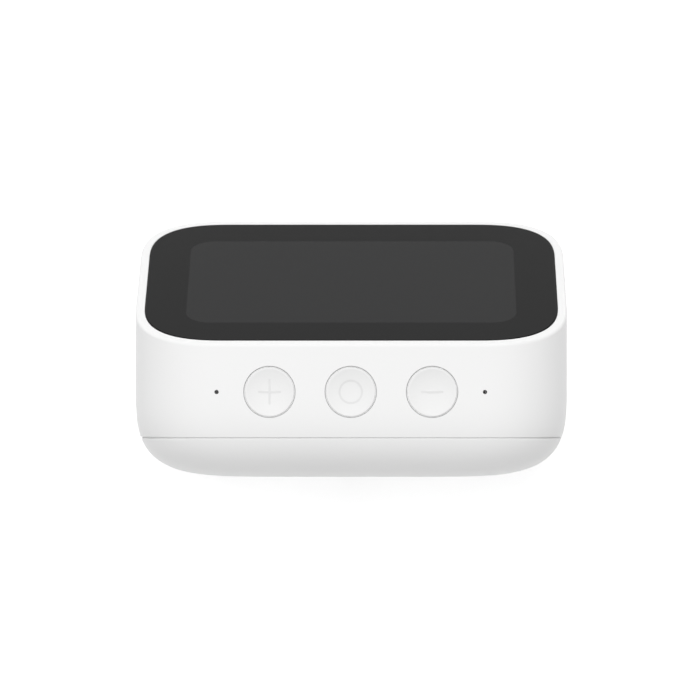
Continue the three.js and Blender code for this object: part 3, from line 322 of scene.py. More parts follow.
# %% Floor finish
floor_finish = Finish("floor_paper", Roughness=0.9)
floor_fibre = floor_finish.noise(floor_finish.place(), 60.0)
floor_finish.paint(floor_fibre, grey(0.93), grey(0.95))
floor_finish.shader.inputs["Emission Color"].default_value = (1, 1, 1, 1)
floor_finish.shader.inputs["Emission Strength"].default_value = FLOOR_GLOW
floor_data.materials.append(floor_finish.material)

# %% [markdown]
# ## Handing a shape over
#
# Every shape ends the same way: doubled vertices are merged, the normals are turned outwards, the
# millimetres become metres, and the mesh gets its finish and a body to ride on. Smooth shading is
# on, and edges sharper than a limit stay crisp.

# %% Handing a shape over
SHARP = math.radians(35)


def to_mesh(shape, name):
    bmesh.ops.remove_doubles(shape, verts=shape.verts, dist=1e-4)
    bmesh.ops.recalc_face_normals(shape, faces=shape.faces)
    bmesh.ops.scale(shape, vec=(MM, MM, MM), verts=shape.verts)
    mesh = bpy.data.meshes.new(name)
    shape.to_mesh(mesh)
    shape.free()
    return mesh


def new_object(mesh, name):
    thing = bpy.data.objects.new(name, mesh)
    bpy.context.scene.collection.objects.link(thing)
    return thing


def carve(base, adders=(), cutters=()):
    """Joins solids to a mesh and cuts others from it, and gives back the finished mesh."""
    thing = new_object(base, "carving")
    helpers = []
    for operation, shapes in (("UNION", adders), ("DIFFERENCE", cutters)):
        for shape in shapes:
            helper = new_object(to_mesh(shape, "helper"), "helper")
            helper.hide_render = True
            helpers.append(helper)
            step = thing.modifiers.new("step", "BOOLEAN")
            step.operation = operation
            step.solver = "EXACT"
            step.object = helper
    bpy.context.view_layer.update()
    graph = bpy.context.evaluated_depsgraph_get()
    carved = bpy.data.meshes.new_from_object(thing.evaluated_get(graph))
    for spent in [thing, *helpers]:
        bpy.data.objects.remove(spent)
    return carved


def finish_piece(mesh, name, material, body, slot, replaces=(), sharp=SHARP):
    """Shades a mesh, gives it its material, and lets it ride on a CAD body in a node's place."""
    mesh.name = name
    mesh.materials.clear()
    mesh.materials.append(material)
    mesh.shade_smooth()
    mesh.set_sharp_from_angle(angle=sharp)
    piece = new_object(mesh, name)
    weights = piece.modifiers.new("weighted_normals", "WEIGHTED_NORMAL")
    weights.keep_sharp = True
    weights.weight = 80
    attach(piece, body)
    if replaces:
        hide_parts(*replaces)
    print(name, len(mesh.polygons), "faces")
    return piece


# %% [markdown]
# ## Rings, and lofting them
#
# A moulded housing is easiest to think of as a loop of string that is pulled back through the
# body: at each station the loop has a known outline, and skin is left between two stations. A
# circle is made once and its angle is kept on every vertex. Each new ring is extruded from the
# last one and told where to sit. A subdivided cube could be squashed to this shape too, but its
# corners would never have the right fullness.

# %% Ring helpers
RING_VERTS = 232


def fuller(share, power):
    return math.copysign(abs(share) ** (2 / power), share)


def cornered(angle, width, height, corner_x, corner_z, power=CORNER_POWER):
    """The point of a round-cornered rectangle at an angle, as a pair."""
    across, up = math.cos(angle), math.sin(angle)
    x = math.copysign(width / 2 - corner_x, across) + corner_x * fuller(across, power)
    z = math.copysign(height / 2 - corner_z, up) + corner_z * fuller(up, power)
    return x, z


def first_ring(shape, where, count=RING_VERTS):
    """A closed loop of edges whose vertices remember their angle."""
    layer = shape.verts.layers.float.new("angle")
    bmesh.ops.create_circle(shape, segments=count, radius=1, cap_ends=False)
    half_step = math.pi / count
    for vert in shape.verts:
        vert[layer] = math.atan2(vert.co.y, vert.co.x) + half_step
        vert.co = where(vert[layer])
    return list(shape.edges)


def next_ring(shape, edges, where):
    """Extrudes a loop of edges and places the new loop."""
    layer = shape.verts.layers.float["angle"]
    made = bmesh.ops.extrude_edge_only(shape, edges=edges)["geom"]
    for vert in made:
        if isinstance(vert, bmesh.types.BMVert):
            vert.co = where(vert[layer])
    return [edge for edge in made if isinstance(edge, bmesh.types.BMEdge) and edge.is_boundary]


def loft(rings, close=False, cap=False, count=RING_VERTS):
    """Skin through a list of ring placers, closed on itself or capped at both ends."""
    shape = bmesh.new()
    start = first_ring(shape, rings[0], count)
    edges = start
    for where in rings[1:]:
        edges = next_ring(shape, edges, where)
    if close:
        bmesh.ops.bridge_loops(shape, edges=start + edges)
    if cap:
        bmesh.ops.edgeloop_fill(shape, edges=start)
        bmesh.ops.edgeloop_fill(shape, edges=edges)
    return shape


# %% [markdown]
# ## The body's form
#
# One section describes the housing: a wide rectangle with full corners. It runs straight back from
# the tilted face, then shrinks over the last stretch, so the rear edges are round in plan and in
# profile at once. The wall's inner side is the same form set in by the wall.

# %% Body form


def left_over(y, inset=0.0):
    """The share of the rear reach that is left at a depth: 1 where the rounding starts, 0 at the rear."""
    reach = REAR_REACH.y - inset
    share = min(max((y - (REAR - REAR_REACH.y)) / reach, 0.0), 1.0)
    return (1 - share**REAR_POWER) ** (1 / REAR_POWER)


def body_ring(inset, y, left=None):
    """A ring of the body form, set in by an offset, at a depth."""
    left = left_over(y, inset) if left is None else left
    width = BODY_WIDTH - 2 * inset
    height = BODY_HEIGHT - 2 * inset
    narrow = 1 - 2 * (REAR_REACH.x - inset) * (1 - left) / width
    low = 1 - 2 * (REAR_REACH.z - inset) * (1 - left) / height
    corner_z = FACE_CORNER * math.cos(FACE_TILT)

    def where(angle):
        x, z = cornered(angle, width, height, FACE_CORNER - inset, corner_z - inset)
        return Vector((x * narrow, y, MIDDLE + z * low))

    return where


def round_ring(inset, turn_share):
    """A ring of the rear rounding by its share of the quarter turn, which spaces the rings evenly."""
    angle = turn_share * math.pi / 2
    left = fuller(max(math.cos(angle), 0.0), REAR_POWER)
    y = REAR - REAR_REACH.y + (REAR_REACH.y - inset) * fuller(math.sin(angle), REAR_POWER)
    return body_ring(inset, y, left)


def on_face(x, up, depth=0.0):
    """A point given across and up the face, and inwards from it."""
    return FACE_CENTRE + Vector((x, 0, 0)) + FACE_UP * up - FACE_OUT * depth


def face_ring(inset, depth):
    """The face's outline, set in by an offset, at a depth behind the face."""

    def where(angle):
        corner = FACE_CORNER - inset
        x, up = cornered(angle, BODY_WIDTH - 2 * inset, FACE_HEIGHT - 2 * inset, corner, corner)
        return on_face(x, up, depth)

    return where


print("ring at the seam", [round(v, 2) for v in body_ring(0, SEAM)(0.6)])

# %% [markdown]
# ## Solids for cutting and joining
#
# Holes, collars and posts are turned solids: half a profile spun once round. A button hole is cut
# with a trumpet-shaped solid, so the rounded edge of the hole comes from the cut itself and is
# even all the way round, which a bevel on a cut edge often isn't.

# %% Turned solids


def turned(profile, centre=(0, 0, 0), axis="Z", steps=72):
    """Spins [radius, height] pairs about an upright axis, then lays that axis along Y if asked."""
    shape = bmesh.new()
    corners = [shape.verts.new((radius, 0, height)) for radius, height in profile]
    for first, second in zip(corners, corners[1:]):
        shape.edges.new((first, second))
    everything = list(shape.verts) + list(shape.edges)
    bmesh.ops.spin(
        shape, geom=everything, cent=(0, 0, 0), axis=(0, 0, 1),
        angle=2 * math.pi, steps=steps, use_merge=True,
    )
    bmesh.ops.remove_doubles(shape, verts=shape.verts, dist=1e-5)
    if axis == "Y":
        bmesh.ops.rotate(shape, matrix=Matrix.Rotation(-math.pi / 2, 3, "X"), verts=shape.verts)
    bmesh.ops.translate(shape, vec=centre, verts=shape.verts)
    bmesh.ops.recalc_face_normals(shape, faces=shape.faces)
    return shape


def arc(centre_r, centre_h, radius, start, end, steps=6):
    """Points of a round stretch of a profile, with its angles in degrees."""
    points = []
    for k in range(steps + 1):
        angle = math.radians(start + (end - start) * k / steps)
        points.append((centre_r + radius * math.cos(angle), centre_h + radius * math.sin(angle)))
    return points


def flared_hole(radius, bottom, top, flare):
    """A cutting solid for a hole whose upper edge is rounded."""
    lip = arc(radius + flare, top - flare, flare, 180, 105)
    last_r, last_h = lip[-1]
    mouth = last_r + flare
    above = [(mouth, last_h + 0.4 * flare), (mouth, top + 1), (0, top + 1)]
    return [(0, bottom), (radius, bottom), *lip, *above]


def rod(radius, bottom, top):
    return [(0, bottom), (radius, bottom), (radius, top), (0, top)]


def tube(inner, outer, bottom, top):
    return [(inner, bottom), (outer, bottom), (outer, top), (inner, top), (inner, bottom)]


def box_between(low, high):
    """A box given by its lowest and highest corners."""
    shape = bmesh.new()
    bmesh.ops.create_cube(shape, size=1)
    bmesh.ops.scale(shape, vec=high - low, verts=shape.verts)
    bmesh.ops.translate(shape, vec=(high + low) / 2, verts=shape.verts)
    return shape


def round_edges(shape, edges, offset, segments):
    bmesh.ops.bevel(
        shape, geom=edges, offset=offset, segments=segments,
        profile=0.5, affect="EDGES", material=-1,
    )


def upright_edges(shape):
    return [edge for edge in shape.edges if abs(edge.verts[0].co.z - edge.verts[1].co.z) > 1]


def merge(shapes):
    """Puts several separate solids into one shape."""
    whole = shapes[0]
    for shape in shapes[1:]:
        passing = bpy.data.meshes.new("passing")
        shape.to_mesh(passing)
        shape.free()
        whole.from_mesh(passing)
        bpy.data.meshes.remove(passing)
    return whole


# %% [markdown]
# ## Main shell
#
# One loop of rings goes all the way round the wall: forwards along the outside from the seam, over
# the rounded rim, across the rim's flat, down the pocket for the glass, round the window in the
# ledge and back along the inside. The loop closes on itself, so the wall has its real thickness
# everywhere. The rim's edge is a curve between the side and the face, because the two meet at a
# different angle along the top, the sides and the bottom.

# %% Main shell rings
RIM_ROUND = 0.75
EDGE_ROUND = 0.14
LEDGE_AT = 1.9
LEDGE_BACK = 3.9
LEDGE_WINDOW = Vector((97.4, 62.84))
WINDOW_LIFT = 0.16
WINDOW_CORNER = 4.0
ROUND_STATIONS = 14
SHELL_END = SEAM - SEAM_GAP / 2


def rim_ring(share):
    """A ring on the rounded edge between the outside and the face: 0 on the side, 1 on the face."""
    corner_ring = face_ring(0, 0)
    flat_ring = face_ring(RIM_ROUND, 0)

    def where(angle):
        corner = corner_ring(angle)
        side = corner + Vector((0, RIM_ROUND, 0))
        flat = flat_ring(angle)
        return side * (1 - share) ** 2 + corner * 2 * share * (1 - share) + flat * share**2

    return where


def window_ring(depth):
    def where(angle):
        x, up = cornered(angle, *LEDGE_WINDOW, WINDOW_CORNER, WINDOW_CORNER)
        return on_face(x, up + WINDOW_LIFT, depth)

    return where


def cavity_front(depth):
    """Where the inside of the wall meets the plane at a depth behind the face."""
    inside = body_ring(WALL, FRONT)

    def where(angle):
        point = inside(angle)
        rise = (point.z - FACE_CENTRE.z) * math.tan(FACE_TILT)
        return Vector((point.x, FACE_CENTRE.y + rise + depth / math.cos(FACE_TILT), point.z))

    return where


round_start = REAR - REAR_REACH.y
station_step = (round_start - SHELL_END) / ROUND_STATIONS
stations = [SHELL_END + station_step * k for k in range(ROUND_STATIONS + 1)]
quarter = [k / 4 * math.pi / 2 for k in range(5)]


def eased(radius):
    """How far in and how far back each point of a rounded edge lies."""
    return [(radius * (1 - math.sin(a)), radius * (1 - math.cos(a))) for a in quarter]


end_edge = [body_ring(inset, SHELL_END - back) for inset, back in eased(EDGE_ROUND)]
outside = [body_ring(0, y) for y in stations[1:]]
rim = [rim_ring(k / 8) for k in range(9)]
inner_edge = [face_ring(RIM - inset, back) for inset, back in eased(EDGE_ROUND)]
pocket = [
    face_ring(RIM, LEDGE_AT), window_ring(LEDGE_AT), window_ring(LEDGE_BACK), cavity_front(LEDGE_BACK),
]
inside = [body_ring(WALL, y) for y in reversed(stations)]
shell_skin = loft(end_edge + outside + rim + inner_edge + pocket + inside, close=True)
print("main shell skin", len(shell_skin.faces), "faces")

# %% [markdown]
# The roof carries the button holes with their guide collars, the microphone holes and two posts
# for the button board. Four short pillars behind the ledge take the display bracket's screws, and
# the floor has the foot's recess and two screw seats. They are joined and cut in one go.

# %% Main shell details
BUTTON_Y = middle_of("action_button").y
BUTTON_X = {name: middle_of(f"{name}_button").x for name in ("volume_up", "action", "volume_down")}
BUTTON_RADIUS = 6.35
HOLE_RADIUS = 6.67
HOLE_FLARE = 0.22
FLANGE_RADIUS = 7.25
COLLAR_INNER = FLANGE_RADIUS + 0.3
COLLAR_WALL = 1.0
COLLAR_DROP = 2.3
SUNK = 0.6
MIC_X = 34.7
MIC_RADIUS = 0.55
MIC_FLARE = 0.1
SCREW_HOLE = 1.2
BOARD_POST_RADIUS = 2.3
PILLAR_RADIUS = 2.2
PILLAR_BACK = 5.0
SEAT_RADIUS = 2.2
SEAT_DEPTH = 1.4
SEAT_HOLE_TOP = 4.8
BOSS_RADIUS = 3.9
BOSS_TOP = 4.4
SMALL_STEPS = 32
ROOF = TOP - WALL
board_top = cad_box("button_board")[1].z
foot_low, foot_high = cad_box("foot_pad")
FOOT_CORNER = 14.0
FOOT_GAP = 0.3

collar = tube(COLLAR_INNER, COLLAR_INNER + COLLAR_WALL, ROOF - COLLAR_DROP, ROOF + SUNK)
button_hole = flared_hole(HOLE_RADIUS, ROOF - 1, TOP, HOLE_FLARE)
collars = [turned(collar, (x, BUTTON_Y, 0)) for x in BUTTON_X.values()]
holes = [turned(button_hole, (x, BUTTON_Y, 0)) for x in BUTTON_X.values()]
mic_hole = flared_hole(MIC_RADIUS, ROOF - 1, TOP, MIC_FLARE)
mic_holes = [turned(mic_hole, (x, BUTTON_Y, 0), steps=SMALL_STEPS) for x in (-MIC_X, MIC_X)]
board_post = tube(SCREW_HOLE, BOARD_POST_RADIUS, board_top + 0.3, ROOF + SUNK)
board_posts = []
for side in ("left", "right"):
    spot = middle_of(f"button_board_screw_{side}")
    board_posts.append(turned(board_post, (spot.x, BUTTON_Y, 0), steps=SMALL_STEPS))

face_turn = Matrix.Rotation(math.pi / 2 - FACE_TILT, 4, "X")
face_matrix = Matrix.Translation(FACE_CENTRE) @ face_turn
pillar = tube(SCREW_HOLE, PILLAR_RADIUS, -PILLAR_BACK, -LEDGE_BACK + 0.5)
bracket_pillars = []
for number in (1, 2, 3, 4):
    spot = face_matrix.inverted() @ middle_of(f"bracket_screw_{number}")
    solid = turned(pillar, (spot.x, spot.y, 0), steps=SMALL_STEPS)
    bmesh.ops.transform(solid, matrix=face_matrix, verts=solid.verts)
    bracket_pillars.append(solid)


def foot_outline(grow, z):
    middle = (foot_low + foot_high) / 2

    def where(angle):
        width = foot_high.x - foot_low.x + 2 * grow
        depth = foot_high.y - foot_low.y + 2 * grow
        x, y = cornered(angle, width, depth, FOOT_CORNER + grow, FOOT_CORNER + grow)
        return Vector((x, middle.y + y, z))

    return where


recess_rings = [foot_outline(FOOT_GAP, BODY_FLOOR + rise) for rise in (-1, 1)]
foot_recess = loft(recess_rings, cap=True, count=128)
seat = [
    (0, BODY_FLOOR - 1), (SEAT_RADIUS, BODY_FLOOR - 1), (SEAT_RADIUS, BODY_FLOOR + SEAT_DEPTH),
    (SCREW_HOLE, BODY_FLOOR + SEAT_DEPTH), (SCREW_HOLE, SEAT_HOLE_TOP), (0, SEAT_HOLE_TOP),
]
boss = rod(BOSS_RADIUS, BODY_FLOOR + 1.5, BOSS_TOP)
screw_seats = []
seat_bosses = []
for number in (1, 2):
    spot = middle_of(f"cover_screw_{number}")
    screw_seats.append(turned(seat, (spot.x, spot.y, 0), steps=SMALL_STEPS))
    seat_bosses.append(turned(boss, (spot.x, spot.y, 0), steps=SMALL_STEPS))

shell_mesh = carve(
    to_mesh(shell_skin, "main_shell"),
    adders=[merge(collars + board_posts + bracket_pillars + seat_bosses)],
    cutters=[merge(holes + mic_holes), foot_recess, merge(screw_seats)],
)
finish_piece(shell_mesh, "main_shell_moulding", white_shell, "housing", "white_shell", ["main_shell"])

# %% [markdown]
# ## Rear cover
#
# The cover is a cup: its outside goes over the rounding to a flat back, its inside does the same
# one wall deeper. At the seam it has a half-lap that runs just under the main shell's edge, which
# is why the parting line reads as a thin shallow groove and not as a slot into the dark.

# %% Rear cover skin
LAP_DEPTH = 0.36
LAP_GAP = 0.03
COVER_START = SEAM + SEAM_GAP / 2
REAR_STATIONS = 30


def seam_share(inset):
    """Where the seam lies on the quarter turn of the rear rounding."""
    share = (COVER_START + EDGE_ROUND - (REAR - REAR_REACH.y)) / (REAR_REACH.y - inset)
    return math.asin(share ** (REAR_POWER / 2)) / (math.pi / 2)


def rear_rings(inset):
    start = seam_share(inset)
    return [round_ring(inset, start + (1 - start) * k / REAR_STATIONS) for k in range(REAR_STATIONS + 1)]


cover_edge = [body_ring(inset, COVER_START + back) for inset, back in eased(EDGE_ROUND)]
lap_front = SHELL_END + LAP_GAP
lap_rings = [body_ring(LAP_DEPTH, lap_front), body_ring(LAP_DEPTH, COVER_START)]
outer_rings = lap_rings + cover_edge + rear_rings(0)[1:]
inner_rings = [body_ring(WALL, lap_front), *rear_rings(WALL)]
cover_skin = bmesh.new()
start_loop = first_ring(cover_skin, outer_rings[0])
for side_rings in (outer_rings[1:], inner_rings):
    edge_loop = start_loop
    for where in side_rings:
        edge_loop = next_ring(cover_skin, edge_loop, where)
    bmesh.ops.edgeloop_fill(cover_skin, edges=edge_loop)
print("rear cover skin", len(cover_skin.faces), "faces")

# %% [markdown]
# The loudspeaker is heard through a honeycomb of small round holes, each with a rounded edge. The
# power inlet is a well with round ends, deep enough for the plug's moulded boot, with the socket's
# mouth in its floor. A lip, two screw lugs and two posts inside hold the cover and the driver.

# %% Rear cover details
SPEAKER_Z = middle_of("speaker_cone").z
GRILLE_PITCH = 3.4
GRILLE_HOLE = 0.85
GRILLE_FLARE = 0.16
GRILLE_RADIUS = 16.8
socket_low, socket_high = cad_box("usb_socket")
PORT_Z = middle_of("usb_socket").z
PORT_WIDTH = 12.2
PORT_TALL = 6.4
PORT_STEPS = 96


def grille_places():
    row_step = GRILLE_PITCH * math.sqrt(3) / 2
    rows = int(GRILLE_RADIUS / row_step)
    places = []
    for row in range(-rows, rows + 1):
        z = row * row_step
        shift = 0 if row % 2 == 0 else GRILLE_PITCH / 2
        reach = math.sqrt(GRILLE_RADIUS**2 - z**2)
        x = shift - GRILLE_PITCH * 12
        while x <= reach:
            if x >= -reach:
                places.append((x, SPEAKER_Z + z))
            x += GRILLE_PITCH
    return places


def grille_cutter():
    """One flared hole, repeated at every place of the honeycomb."""
    hole = flared_hole(GRILLE_HOLE, -WALL - 1.5, 0, GRILLE_FLARE)
    return merge([turned(hole, (x, REAR - 0.02, z), axis="Y", steps=20) for x, z in grille_places()])


def stadium_ring(width, tall, y):
    """An upright ring with round ends at the inlet's height."""

    def where(angle):
        x, z = cornered(angle, width, tall, tall / 2, tall / 2, power=2)
        return Vector((x, y, PORT_Z + z))

    return where


def skin_y(z, inset=0.0):
    """How far back the body form reaches at a height, near the middle of its width."""
    left = 1 - (BODY_HEIGHT / 2 - abs(z - MIDDLE)) / (REAR_REACH.z - inset)
    share = (1 - max(left, 0.0) ** REAR_POWER) ** (1 / REAR_POWER)
    return REAR - REAR_REACH.y + (REAR_REACH.y - inset) * share


def skin_ring(width, tall, inset):
    """A ring with round ends that lies on the rear surface, or under it."""
    flat = stadium_ring(width, tall, 0)

    def where(angle):
        point = flat(angle)
        return Vector((point.x, skin_y(point.z, max(inset, 0)) - min(inset, 0), point.z))

    return where


LIP_INSET = WALL + 0.3
LIP_WALL = 1.0
LIP_LENGTH = 2.5
ROOT_INSET = WALL / 2
ROOT_LENGTH = 2.0
lip_ends = [
    (LIP_INSET, -LIP_LENGTH), (LIP_INSET, SEAM_GAP), (ROOT_INSET, SEAM_GAP), (ROOT_INSET, ROOT_LENGTH),
    (LIP_INSET + LIP_WALL, ROOT_LENGTH), (LIP_INSET + LIP_WALL, -LIP_LENGTH),
]
lip = loft([body_ring(inset, SEAM + back) for inset, back in lip_ends], close=True)

WELL_WALL = 0.9
well_front = socket_high.y - 1.0
well_floor = socket_high.y + 0.2
well_size = (PORT_WIDTH + 2 * WELL_WALL, PORT_TALL + 2 * WELL_WALL)
well_rings = [stadium_ring(*well_size, well_front), skin_ring(*well_size, ROOT_INSET)]
well = loft(well_rings, cap=True, count=PORT_STEPS)
floor_edge = ((-0.5, 0), (-0.15, 0.1), (0, 0.35))
mouth_edge = ((0, 0.5), (0.06, 0.25), (0.22, 0.1), (0.6, 0.005), (0.9, -1.0))
boot_rings = [
    stadium_ring(PORT_WIDTH + grow, PORT_TALL + grow, well_floor + rise) for grow, rise in floor_edge
]
boot_rings += [skin_ring(PORT_WIDTH + grow, PORT_TALL + grow, inset) for grow, inset in mouth_edge]
boot_room = loft(boot_rings, cap=True, count=PORT_STEPS)
socket_width = socket_high.x - socket_low.x + 0.5
socket_tall = socket_high.z - socket_low.z + 0.5
room_steps = ((0, well_front - 1), (0, well_floor - 0.3), (0.6, well_floor + 0.05), (0.6, well_floor + 1))
room_rings = [stadium_ring(socket_width + grow, socket_tall + grow, y) for grow, y in room_steps]
socket_room = loft(room_rings, cap=True, count=PORT_STEPS)

LUG_WIDTH = 8.0
LUG_HEIGHT = 4.8
LUG_FLOOR = 4.7
LUG_ROUND = 2.5
lug_hole = rod(SCREW_HOLE, LUG_FLOOR - 1, LUG_FLOOR + LUG_HEIGHT - 0.8)
lug_shapes = []
lug_holes = []
for number in (1, 2):
    spot = middle_of(f"cover_screw_{number}")
    lug = bmesh.new()
    bmesh.ops.create_cube(lug, size=1)
    for vert in lug.verts:
        z = LUG_FLOOR if vert.co.z < 0 else LUG_FLOOR + LUG_HEIGHT
        y = spot.y - LUG_WIDTH / 2 if vert.co.y < 0 else skin_y(z, ROOT_INSET)
        vert.co = Vector((spot.x + vert.co.x * LUG_WIDTH, y, z))
    nose = [edge for edge in upright_edges(lug) if all(vert.co.y < spot.y for vert in edge.verts)]
    round_edges(lug, nose, LUG_ROUND, 6)
    lug_shapes.append(lug)
    lug_holes.append(turned(lug_hole, (spot.x, spot.y, 0), steps=24))

POST_RADIUS = 2.6
POST_START = 28.9
cover_post = [
    (SCREW_HOLE, POST_START), (POST_RADIUS, POST_START), (POST_RADIUS, REAR - 1.2),
    (SCREW_HOLE, REAR - 2.4), (SCREW_HOLE, POST_START),
]
cover_posts = []
for number in (1, 2):
    spot = middle_of(f"speaker_screw_{number}")
    cover_posts.append(turned(cover_post, (spot.x, 0, spot.z), axis="Y", steps=SMALL_STEPS))
cover_mesh = carve(
    to_mesh(cover_skin, "rear_cover"),
    adders=[lip, well, merge(cover_posts), merge(lug_shapes)],
    cutters=[boot_room, socket_room, merge(lug_holes), grille_cutter()],
)
finish_piece(cover_mesh, "rear_cover_moulding", white_shell, "housing", "white_shell", ["rear_cover"])

# %% [markdown]
# ## Cover glass
#
# One sheet of glass, printed black on its back, fills the pocket. Its edge is ground round so that
# a finger slides over it. The lit area shows as a slightly greyer rectangle with round corners,
# because the panel under it reflects a little. That is a mask worked out from the distance to a
# rounded rectangle, in the face's own directions, so it stays sharp at any size.

# %% Glass finish
SCREEN = Vector((86.4, 51.84))
SCREEN_CORNER = 6.4
BLACK_PRINT = (0.0022, 0.0022, 0.0023, 1)
LIT_AREA = (0.0146, 0.0147, 0.0150, 1)


def black_glass():
    finish = Finish("black_glass", Specular_IOR_Level=0.037, IOR=1.5)
    x, y, z = finish.parts(finish.place())
    rise = FACE_UP.dot(FACE_CENTRE) + WINDOW_LIFT
    up = y * FACE_UP.y + z * FACE_UP.z - rise
    beyond_x = (abs(x) - (SCREEN.x / 2 - SCREEN_CORNER)).most(0.0)
    beyond_up = (abs(up) - (SCREEN.y / 2 - SCREEN_CORNER)).most(0.0)
    beyond = (beyond_x * beyond_x + beyond_up * beyond_up).maths("POWER", 0.5)
    screen = 1 - (beyond - SCREEN_CORNER).ramp(-0.15, 0.15)
    smear = finish.noise(finish.place(), 16.0, detail=4.0, roughness=0.6)
    finish.paint(screen, BLACK_PRINT, LIT_AREA)
    finish.feed(Roughness=0.07 + smear * 0.05)
    return finish.material


GLASS_GAP = 0.25
GLASS_THICKNESS = 1.1
GLASS_ROUND = 0.18
glass_edge = RIM + GLASS_GAP
glass_rings = [face_ring(glass_edge + 0.15, GLASS_THICKNESS), face_ring(glass_edge, GLASS_THICKNESS - 0.15)]
glass_rings += [face_ring(glass_edge + back, inset) for inset, back in eased(GLASS_ROUND)]
# A thin black rubber ring fills the gap between the rim and the glass. It is painted shade: a dark ring
# standing in for the shadow at the bottom of the gap.
gap_shade_ring_section = ((0.005, 0.9), (0.005, 0.16), (0.06, 0.11), (0.19, 0.11), (0.245, 0.16), (0.245, 0.9))
gap_shade_ring_rings = [face_ring(RIM + inset, depth) for inset, depth in gap_shade_ring_section]
gap_shade_ring_mesh = to_mesh(loft(gap_shade_ring_rings, close=True), "gap_shade_ring")
glass_mesh = to_mesh(loft(glass_rings, cap=True), "cover_glass")
finish_piece(glass_mesh, "cover_glass_sheet", black_glass(), "housing", "cover_glass", ["cover_glass"])

# %% [markdown]
# ## Push buttons
#
# Each cap is a turned part: a shallow dish for the fingertip, a rounded edge, a skirt just under
# the edge that keeps light from falling into the gap, a flange that stops it under the roof, and a
# stem. The plus, ring and minus are shallow grooves with a slightly darker fill laid in them. The
# grooves' darkness is partly their own shade and partly painted shade in the fill. They could be
# painted by a mask, but a groove catches light the way a moulded mark does.

# %% Button caps and marks
DISH_DEPTH = 0.75
DISH_RADIUS = BUTTON_RADIUS - 0.35
CAP_EDGE = 0.16
SKIRT_GROW = 0.24
STEM_RADIUS = 2.0
FLANGE_THICKNESS = 1.0
stem_bottom = cad_box("action_button")[0].z
MARK_DEPTH = 0.14
MARK_REACH = 5.9
MARK_STROKE = 0.52
RING_MARK_RADIUS = 2.9


def dish_z(radius):
    share = min(radius / DISH_RADIUS, 1.0)
    return TOP - DISH_DEPTH * (1 - share**2)


def cap_profile():
    flange_top = ROOF - 0.3
    flange_bottom = flange_top - FLANGE_THICKNESS
    skirt = BUTTON_RADIUS + SKIRT_GROW
    profile = [
        (0, stem_bottom), (STEM_RADIUS - 0.2, stem_bottom), (STEM_RADIUS, stem_bottom + 0.2),
        (STEM_RADIUS, flange_bottom), (FLANGE_RADIUS - 0.1, flange_bottom),
        (FLANGE_RADIUS, flange_bottom + 0.1), (FLANGE_RADIUS, flange_top - 0.1),
        (FLANGE_RADIUS - 0.1, flange_top), (skirt, flange_top), (skirt, TOP - 0.5),
        (BUTTON_RADIUS, TOP - 0.44),
    ]
    profile += arc(BUTTON_RADIUS - CAP_EDGE, TOP - CAP_EDGE, CAP_EDGE, 0, 90)
    profile += [(DISH_RADIUS * k / 24, dish_z(DISH_RADIUS * k / 24)) for k in range(24, -1, -1)]
    return profile


def mark_bar(width, length, grow, below, above):
    """A round-ended bar that follows the dish."""
    tall = length + 2 * grow
    wide = width + 2 * grow

    def ring(offset):
        def where(angle):
            x, y = cornered(angle, wide, tall, wide / 2, wide / 2, power=2)
            return Vector((x, y, dish_z(math.hypot(x, y)) + offset))

        return where

    return loft([ring(-below), ring(above)], cap=True, count=32)


def mark_ring(grow, below, above):
    inner = RING_MARK_RADIUS - MARK_STROKE / 2 - grow
    outer = RING_MARK_RADIUS + MARK_STROKE / 2 + grow
    profile = [
        (inner, dish_z(inner) - below), (outer, dish_z(outer) - below),
        (outer, dish_z(outer) + above), (inner, dish_z(inner) + above), (inner, dish_z(inner) - below),
    ]
    return turned(profile)


def mark_shapes(kind, grow, below, above):
    """The solids of one mark: a plus is two bars, a minus one, and the middle button has a ring."""
    if kind == "action":
        return [mark_ring(grow, below, above)]
    bars = [mark_bar(MARK_STROKE, MARK_REACH, grow, below, above)]
    bmesh.ops.rotate(bars[0], matrix=Matrix.Rotation(math.pi / 2, 3, "Z"), verts=bars[0].verts)
    if kind == "volume_up":
        bars.append(mark_bar(MARK_STROKE, MARK_REACH * 1.1, grow, below, above))
    return bars


# The marks' fill is a darker white: painted shade for the engraved symbols, on top of the grooves' own
# shade.
white_mark = moulded_white("white_mark", tone=0.735, grain=0.25, gloss=0.45)
for name, x in BUTTON_X.items():
    key = f"{name}_key"
    to_place = Matrix.Translation(Vector((x, BUTTON_Y, 0)) * MM)
    cap = turned(cap_profile(), steps=96)
    cap_mesh = carve(to_mesh(cap, name), cutters=mark_shapes(name, 0.0, MARK_DEPTH, 0.5))
    cap_mesh.transform(to_place)
    finish_piece(cap_mesh, f"{name}_cap", white_button, key, "button_white", [f"{name}_button"])
    # The darker fill laid in each groove is painted shade.
    painted_shade_fills = mark_shapes(name, -0.01, MARK_DEPTH - 0.01, -0.05)
    painted_shade_fill_mesh = carve(to_mesh(painted_shade_fills[0], name), adders=painted_shade_fills[1:])
    painted_shade_fill_mesh.transform(to_place)
    finish_piece(painted_shade_fill_mesh, f"{name}_mark", white_mark, key, "button_white")

# %% [markdown]
# ## Foot and power inlet
#
# The foot is a flat silicone pad that stands a little proud of the base. The inlet's shell is a
# stadium-shaped tube drawn from thin steel, rounded at its mouth, and its tongue carries a row of
# gold-plated contacts.

# %% Foot, socket and tongue
foot_section = (
    (-0.25, foot_high.z), (0, foot_high.z - 0.2), (0, 0.3), (-0.05, 0.14), (-0.15, 0.04), (-0.3, 0),
    (-2.6, 0), (-2.75, 0.05), (-2.85, 0.2), (-3.0, 0.25),
)
foot_rings = [foot_outline(grow, z) for grow, z in foot_section]
foot_mesh = to_mesh(loft(foot_rings, cap=True, count=160), "foot_pad")

